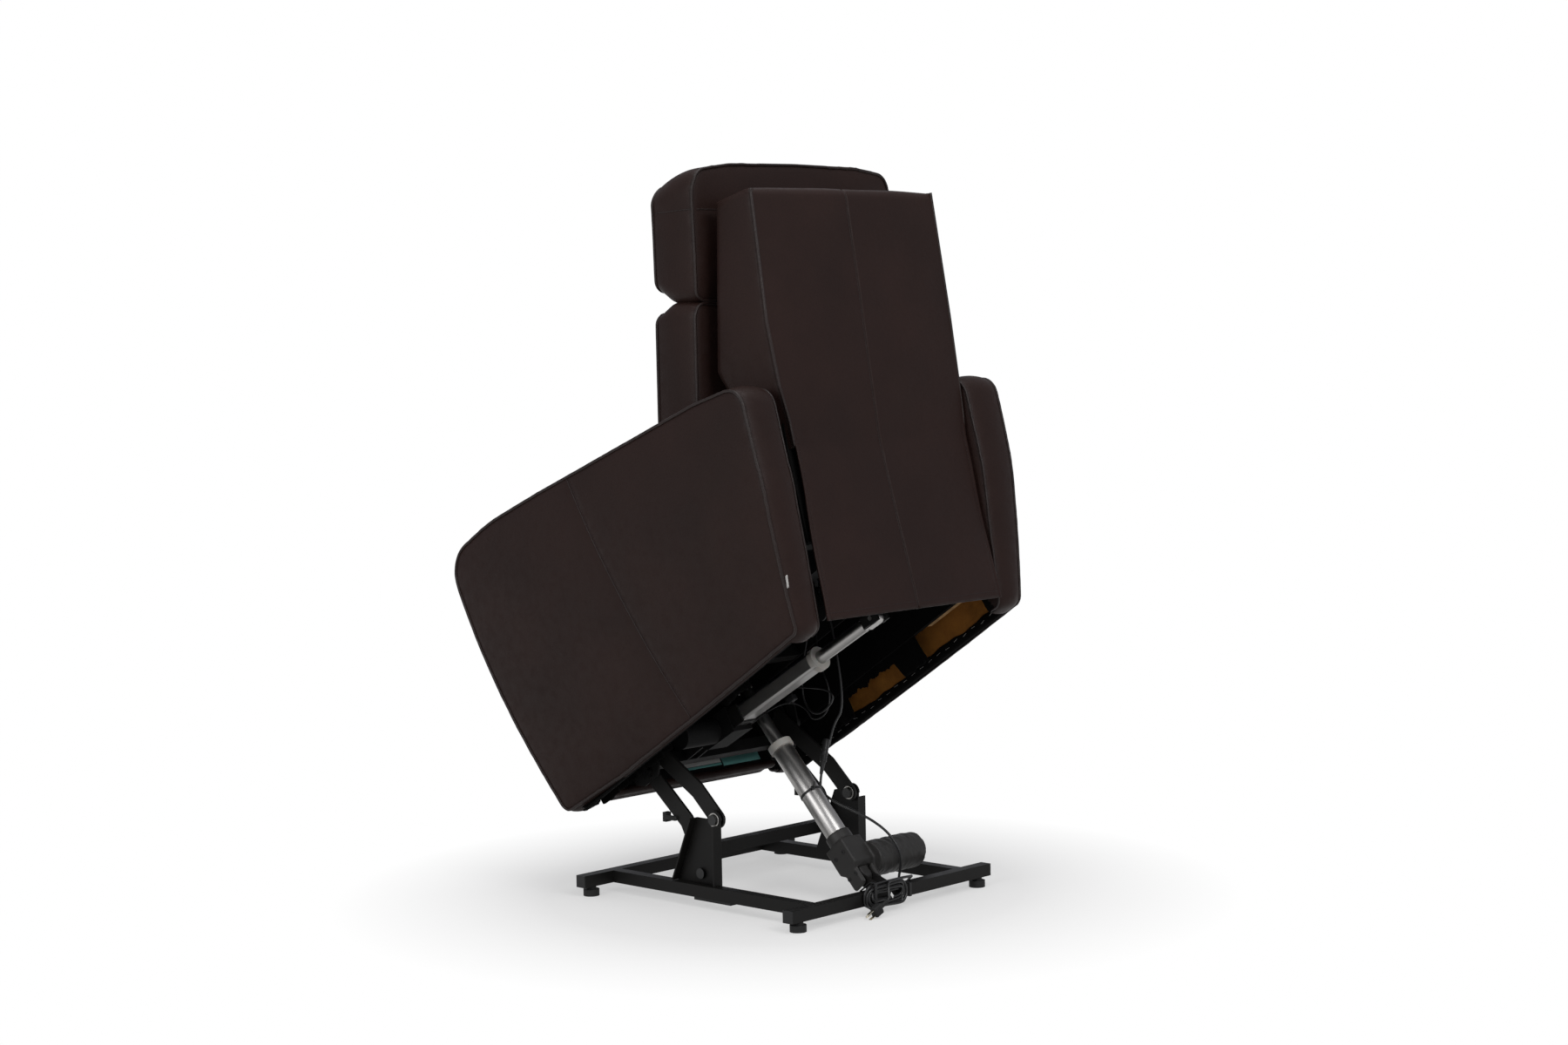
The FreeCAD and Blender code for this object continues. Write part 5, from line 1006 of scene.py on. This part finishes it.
def gusset(word, sign):
    # The side wall of the back, from the rear panel's piping forward to the pillows
    rear = resample([(491, 392), (699, 860)], 12.0, closed=False)
    share = np.linspace(0, 1, len(rear))
    front = np.stack([np.interp(share, [0, GUSSET_BEND, 1], axis) for axis in zip(*GUSSET_FRONT)], 1)
    columns = np.linspace(0, 1, 14)
    skins = []
    for inset, puff in ((0.0, 5.0 * (4 * columns * (1 - columns)) ** 0.6), (9.0, 0 * columns)):
        line = rear[:, None] + (front - rear)[:, None] * columns[:, None]
        half = shell_half_width(line[..., 1], sign) - 1.0 - inset
        skins.append(np.stack([sign * (half + puff), line[..., 0], line[..., 1]], -1))
    piece = dress(two_skins(f"back_gusset_{word}", skins), dark_leather, "backrest")
    edge = seated(sign * (shell_half_width(rear[:, 1], sign) + 0.5), rear[:, 0] + 1.5, rear[:, 1])
    piped(f"back_piping_{word}", edge, "backrest", closed=False)


for word, sign in SIDES:
    gusset(word, sign)


# Seat cushion and footrest pad

def box_outline(low, high):
    return rounded([(-258, low), (258, low), (258, high), (-258, high)], [26, 26, 26, 26])


def seat():
    piece, loops = cushion("seat_cushion_cover", box_outline(-412, 232), flat_at(343.0),
                           lambda x, y: 470 - (y + 414) * 0.065 + 0 * x, (0.0, 10.0), 4.0, seated, (0, -90),
                           0.006, 0.012, "chair", "seat_cushion")
    piped("seat_piping", on_cover(piece, loops["high"], 0.0013), "chair")


def footrest():
    piece, loops = cushion("footrest_cover", box_outline(70, 328), flat_at(-388.6), flat_at(-408.0), (0.0, -8.0), 3.0,
                           lambda x, z, y: seated(x, y, z), (0, 200), 0.0055, 0.007, "footrest_panel",
                           "footrest_pad")
    piped("footrest_piping", on_cover(piece, loops["high"], 0.0013), "footrest_panel")
    # The cover is turned in over the lower edge of the board
    rows = [[(x, -392, 68.5), (x, -388, 66.8), (x, -380, 66.6), (x, -373.5, 68), (x, -373.2, 73),
             (x, -373.4, 80 + 2.5 * wander_along(x / 200, 2))] for x in np.linspace(-253, 253, 120)]
    dress(strip("footrest_hem", raised(rows), 0.0014), dark_leather, "footrest_panel")


seat()
footrest()


# Bare plates glued inside the footrest, a sewn tag, and small hardware

PLATE_BACK, PLATE_FACE = -0.3735, -0.3728


def bare_plates():
    for word, finish, left, low, right, high in (("white", plate_white, -0.096, 0.096, 0.022, 0.136),
                                                 ("teal", plate_teal, -0.216, 0.086, -0.100, 0.131),
                                                 ("edge", plate_teal, -0.096, 0.0895, 0.022, 0.0952),
                                                 ("ochre", plate_ochre, 0.134, 0.102, 0.176, 0.122)):
        plate = block(f"bare_plate_{word}", (left, PLATE_BACK, low), (right, PLATE_FACE, high), 0.0003, 1)
        dress(settle(plate, CHAIR_FRAME), finish, "footrest_panel")


def sewn_tag():
    # A folded woven tag in the rear seam of the left arm, left plain
    rows = [[(354.5 + math.cos(math.pi * t), 408.5 + (v - 128) * 0.44 + 5.2 * math.sin(math.pi * t), v)
             for v in np.linspace(128, 150, 10)] for t in np.linspace(0, 1, 9)]
    dress(strip("sewn_tag", raised(rows), 0.0007), tag_cloth, "chair")


BOOT_VOXEL = 0.0019
BOLT_RADIUS = 0.0113


def motor_boot():
    # The gearbox housing and the motor under one dark cover, creased where it is loose
    covered = ("lift_gearbox", "lift_motor_can")
    shells = [placed(f"boot_{label}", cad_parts[label].data.copy()) for label in covered]
    for twin in shells:
        twin.data.materials.clear()
    for low, high in ((-0.0285, -0.0195), (0.0195, 0.0285)):
        shells.append(settle(block("boot_cheek", (low, -0.019, -0.0215), (high, 0.019, 0.040), 0.006, 3), LIFT_FRAME))
    shells.append(settle(washer("boot_neck", 0.0215, 0.0266, 0.050, 0.107), LIFT_FRAME))
    boot = join("motor_boot", shells)
    remeshed(boot, BOOT_VOXEL)
    applied(boot, "SMOOTH", factor=0.5, iterations=8)
    co, no = read(boot.data, "co"), read(boot.data, "normal")
    folds = [ridged_multi_fractal((x * 52, y * 30 + x * 22, z * 30), 0.9, 2.1, 3, 0.9, 1.6) for x, y, z in co]
    lift = 0.0008 + (0.00012 + 0.0014 * ease(-co[:, 0], 0.010, 0.040)) * (np.array(folds) - 1.1)
    lift = np.clip(lift, -0.0012, 0.003)
    # The bore stays open, so that the rod can run down into it
    to_lift = np.array(LIFT_FRAME.inverted())
    x, y, z = to_lift[:3, :3] @ co.T + to_lift[:3, 3:]
    lift[(np.hypot(x, y) < 0.0224) & (z > 0.016)] = -0.0004
    boot.data.vertices.foreach_set("co", (co + no * lift[:, None]).ravel())
    boot.data.update()
    smooth_all(boot.data)
    dress(boot, motor_cover, "lift_motor", *covered)
    # Screws with a deep recess on the face of the housing
    profile = [(0.0040, 0.0), (0.0040, 0.0012), (0.0026, 0.0014), (0.0024, 0.0003)]
    for number, (across, up) in enumerate(((-0.012, 0.006), (0.012, 0.006), (-0.014, 0.058), (0.014, 0.058))):
        head = turned(f"housing_screw_{number}", profile, 20)
        dress(settle(head, LIFT_FRAME @ shift(0.0297, across, up) @ spin(90, "Y")), dark_zinc, "lift_motor")


def pivot_washers():
    # Bright washers under the heads of the upper lift bolts, and thrust rings under the chair's own
    number = 0
    for body, place, x, y, z, outer, finish in (("base", on_base, 214, 0.0, 181.0, 0.0148, zinc_steel),
                                                ("base", on_base, -198.8, 0.0, 181.0, 0.0148, zinc_steel),
                                                ("chair", raised, 206.3, -285.7, 67.7, 0.0150, ring_teal)):
        for side in (-1, 1):
            ring = washer(f"pivot_washer_{number}", BOLT_RADIUS, outer, 0.0002, 0.0018)
            dress(settle(ring, shift(*place([side * x, y, z])) @ spin(side * 90, "Y")), finish, body, slot="steel")
            number += 1


def tube_skin():
    # The drawn tube of the lift motor, turned finely so that it shines evenly
    skin = washer("lift_tube_skin", 0.0205, 0.0230, 0.0848, 0.3395, 0.0005, 96)
    dress(settle(skin, LIFT_FRAME), satin_aluminium, "lift_motor", "lift_outer_tube")


def tube_strap():
    # The black yoke that crosses the recline tube beside the top of the lift rod, bored for the rod
    band = block("strap_band", (-0.0235, -0.0205, 0.128), (0.0235, 0.0205, 0.146), 0.003, 3)
    cut_away(band, turned("strap_bore", [(0.0172, 0.120), (0.0172, 0.154)], 48))
    wing = block("strap_wing", (-0.024, -0.0215, 0.1315), (-0.020, 0.0215, 0.172), 0.0014, 2)
    lug = block("strap_lug", (0.0195, -0.0215, 0.118), (0.0240, 0.0215, 0.150), 0.0014, 2)
    dress(settle(join("recline_tube_yoke", [band, wing, lug]), RECLINE_FRAME), black_coat, "recline_motor")


def rod_fork():
    # The black fork that joins the recline rod to the back
    cheeks = [block(f"fork_cheek_{i}", (x - 0.0022, -0.0115, 0.548), (x + 0.0022, 0.0115, 0.584), 0.0008, 2)
              for i, x in enumerate((-0.0155, 0.0155))]
    sleeve = turned("fork_sleeve", [(0.0122, 0.520), (0.0134, 0.5212), (0.0134, 0.5478), (0.0125, 0.549)], 40)
    fork = join("recline_rod_fork", [sleeve] + cheeks)
    dress(settle(fork, RECLINE_FRAME), black_coat, "recline_rod")


def tie_tail():
    # The tie's head and its free tail, which stands off to the left behind the tube
    head = block("tie_head", (0.0, -0.0035, -0.004), (0.0075, 0.0035, 0.004), 0.0012, 3)
    tail = block("tie_tail_end", (0.006, -0.0008, -0.0024), (0.030, 0.0008, 0.0024), 0.0005)
    height = (LIFT_FRAME.inverted() @ Vector(np.mean(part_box("cable_tie"), axis=0))).z
    place = LIFT_FRAME @ shift(0, 0, height) @ spin(62, "Z") @ shift(0.0232, 0, 0)
    dress(settle(join("cable_tie_head", [head, tail]), place), black_plastic, "lift_motor")


def hank_tag():
    # A small blank paper tag folded over the cord
    rows = [[(u, 0.0005 * math.sin(u * 400) + 0.0007 * v, 0.0072 - 0.0028 * v - 0.003 * abs(u) * 20)
             for u in np.linspace(-0.005, 0.005, 7)] for v in np.linspace(0, 3.4, 7)]
    place = shift(0.030, 0.4445, 0.034) @ spin(28, "Y") @ spin(20, "Z")
    dress(settle(strip("cord_tag", rows, 0.00035), place), paper, "base")


# Thin motor wires under the seat
RECLINE_WIRE = [(24, -182, 100), (0, -186, 104), (-30, -176, 112), (-50, -122, 122), (-54, -80, 129), (-54, -14, 92),
                (-54, 41, 56), (-52, 40, 30), (-50, -20, 24), (-54, -44, 66), (-62, -20, 128), (-90, 40, 216),
                (-112, 84, 262), (-116, 92, 287)]
TRANSFER_WIRE = [(24, -166, 92), (2, -184, 92), (-26, -184, 96), (-48, -130, 104), (-56, -76, 92), (-58, -46, 60),
                 (-60, -46, 26), (-62, 0, 20), (-64, 34, 60), (-70, 30, 130), (-92, 60, 220), (-100, 84, 262),
                 (-100, 90, 287)]


def motor_wires():
    for name, radius, route in (("recline_wire", 0.0020, RECLINE_WIRE), ("transfer_wire", 0.0017, TRANSFER_WIRE)):
        path = raised(route)
        wire = cord_piece(name, path, "chair", radius=radius)
    for number, (low, high) in enumerate((((-0.062, -0.084, 0.112), (-0.048, -0.060, 0.126)),
                                          ((-0.064, -0.082, 0.088), (-0.050, -0.060, 0.101)))):
        coupler = block(f"wire_coupler_{number}", low, high, 0.0016, 3)
        dress(settle(coupler, CHAIR_FRAME), black_plastic, "chair")


for build in (bare_plates, sewn_tag, motor_boot, pivot_washers, tube_skin, tube_strap, rod_fork, tie_tail, hank_tag,
              motor_wires):
    build()


# Floor and light

FLOOR_SEEN, FLOOR_LIT = (0.60, 0.595, 0.585), (0.30, 0.297, 0.292)


def floor():
    # The floor glows to white away from the chair, as a photographer's sheet does
    bpy.ops.mesh.primitive_circle_add(vertices=96, radius=14.0, fill_type="NGON", location=(0.0, 0.12, 0.0))
    disc = bpy.context.object
    disc.name = "studio_floor"
    f = Finish("studio_floor_white")
    distance = f.add("VectorMath", {0: f.place}, operation="LENGTH").outputs["Value"]
    fade = f.range(distance, 0.47, 1.0, 0.5, 0.95)
    f.constant(Roughness=0.85, Specular_IOR_Level=0.1)
    glow = f.add("Emission", {"Color": (1, 1, 1, 1), "Strength": 1.0}).outputs[0]
    ray = f.add("LightPath").outputs
    f.tree.links.new(f.blend(ray["Is Camera Ray"], FLOOR_LIT, FLOOR_SEEN), f.shader.inputs["Base Color"])
    seen = f.add("Math", {0: ray["Is Camera Ray"], 1: ray["Is Glossy Ray"]}, operation="MAXIMUM").outputs[0]
    share = f.add("Math", {0: seen, 1: fade}, operation="MULTIPLY").outputs[0]
    mix = f.add("MixShader", {"Fac": share, 1: f.shader.outputs[0], 2: glow})
    f.tree.links.new(mix.outputs[0], f.tree.nodes["Material Output"].inputs["Surface"])
    disc.data.materials.append(f.material)


def sky():
    # Soft bluish light from all round, and a white backdrop for the camera
    world = bpy.data.worlds.new("studio_world")
    bpy.context.scene.world = world
    world.use_nodes = True
    nodes, wire = world.node_tree.nodes, world.node_tree.links.new
    around, backdrop = nodes["Background"], nodes.new("ShaderNodeBackground")
    for node, colour, strength in ((around, (0.93, 0.94, 1.0, 1), 0.46), (backdrop, (1, 1, 1, 1), 1.0)):
        node.inputs["Color"].default_value, node.inputs["Strength"].default_value = colour, strength
    mix = nodes.new("ShaderNodeMixShader")
    wire(nodes.new("ShaderNodeLightPath").outputs["Is Camera Ray"], mix.inputs["Fac"])
    wire(around.outputs[0], mix.inputs[1])
    wire(backdrop.outputs[0], mix.inputs[2])
    wire(mix.outputs[0], nodes["World Output"].inputs["Surface"])


def lamp(name, place, target, size, power):
    light = bpy.data.lights.new(name, "AREA")
    light.shape, light.size, light.energy = "SQUARE", size, power
    holder = placed(name, light)
    holder.location = place
    holder.rotation_mode = "QUATERNION"
    holder.rotation_quaternion = (Vector(target) - Vector(place)).to_track_quat("-Z", "Y")


floor()
sky()
lamp("key_softbox", (1.0, 4.6, 3.6), (0, 0.1, 0.7), 2.4, 130)
lamp("fill_softbox", (4.8, 0.2, 2.4), (0, 0.1, 0.7), 2.6, 100)
lamp("top_softbox", (0.2, 0.4, 4.6), (0, 0.1, 0.6), 3.0, 100)
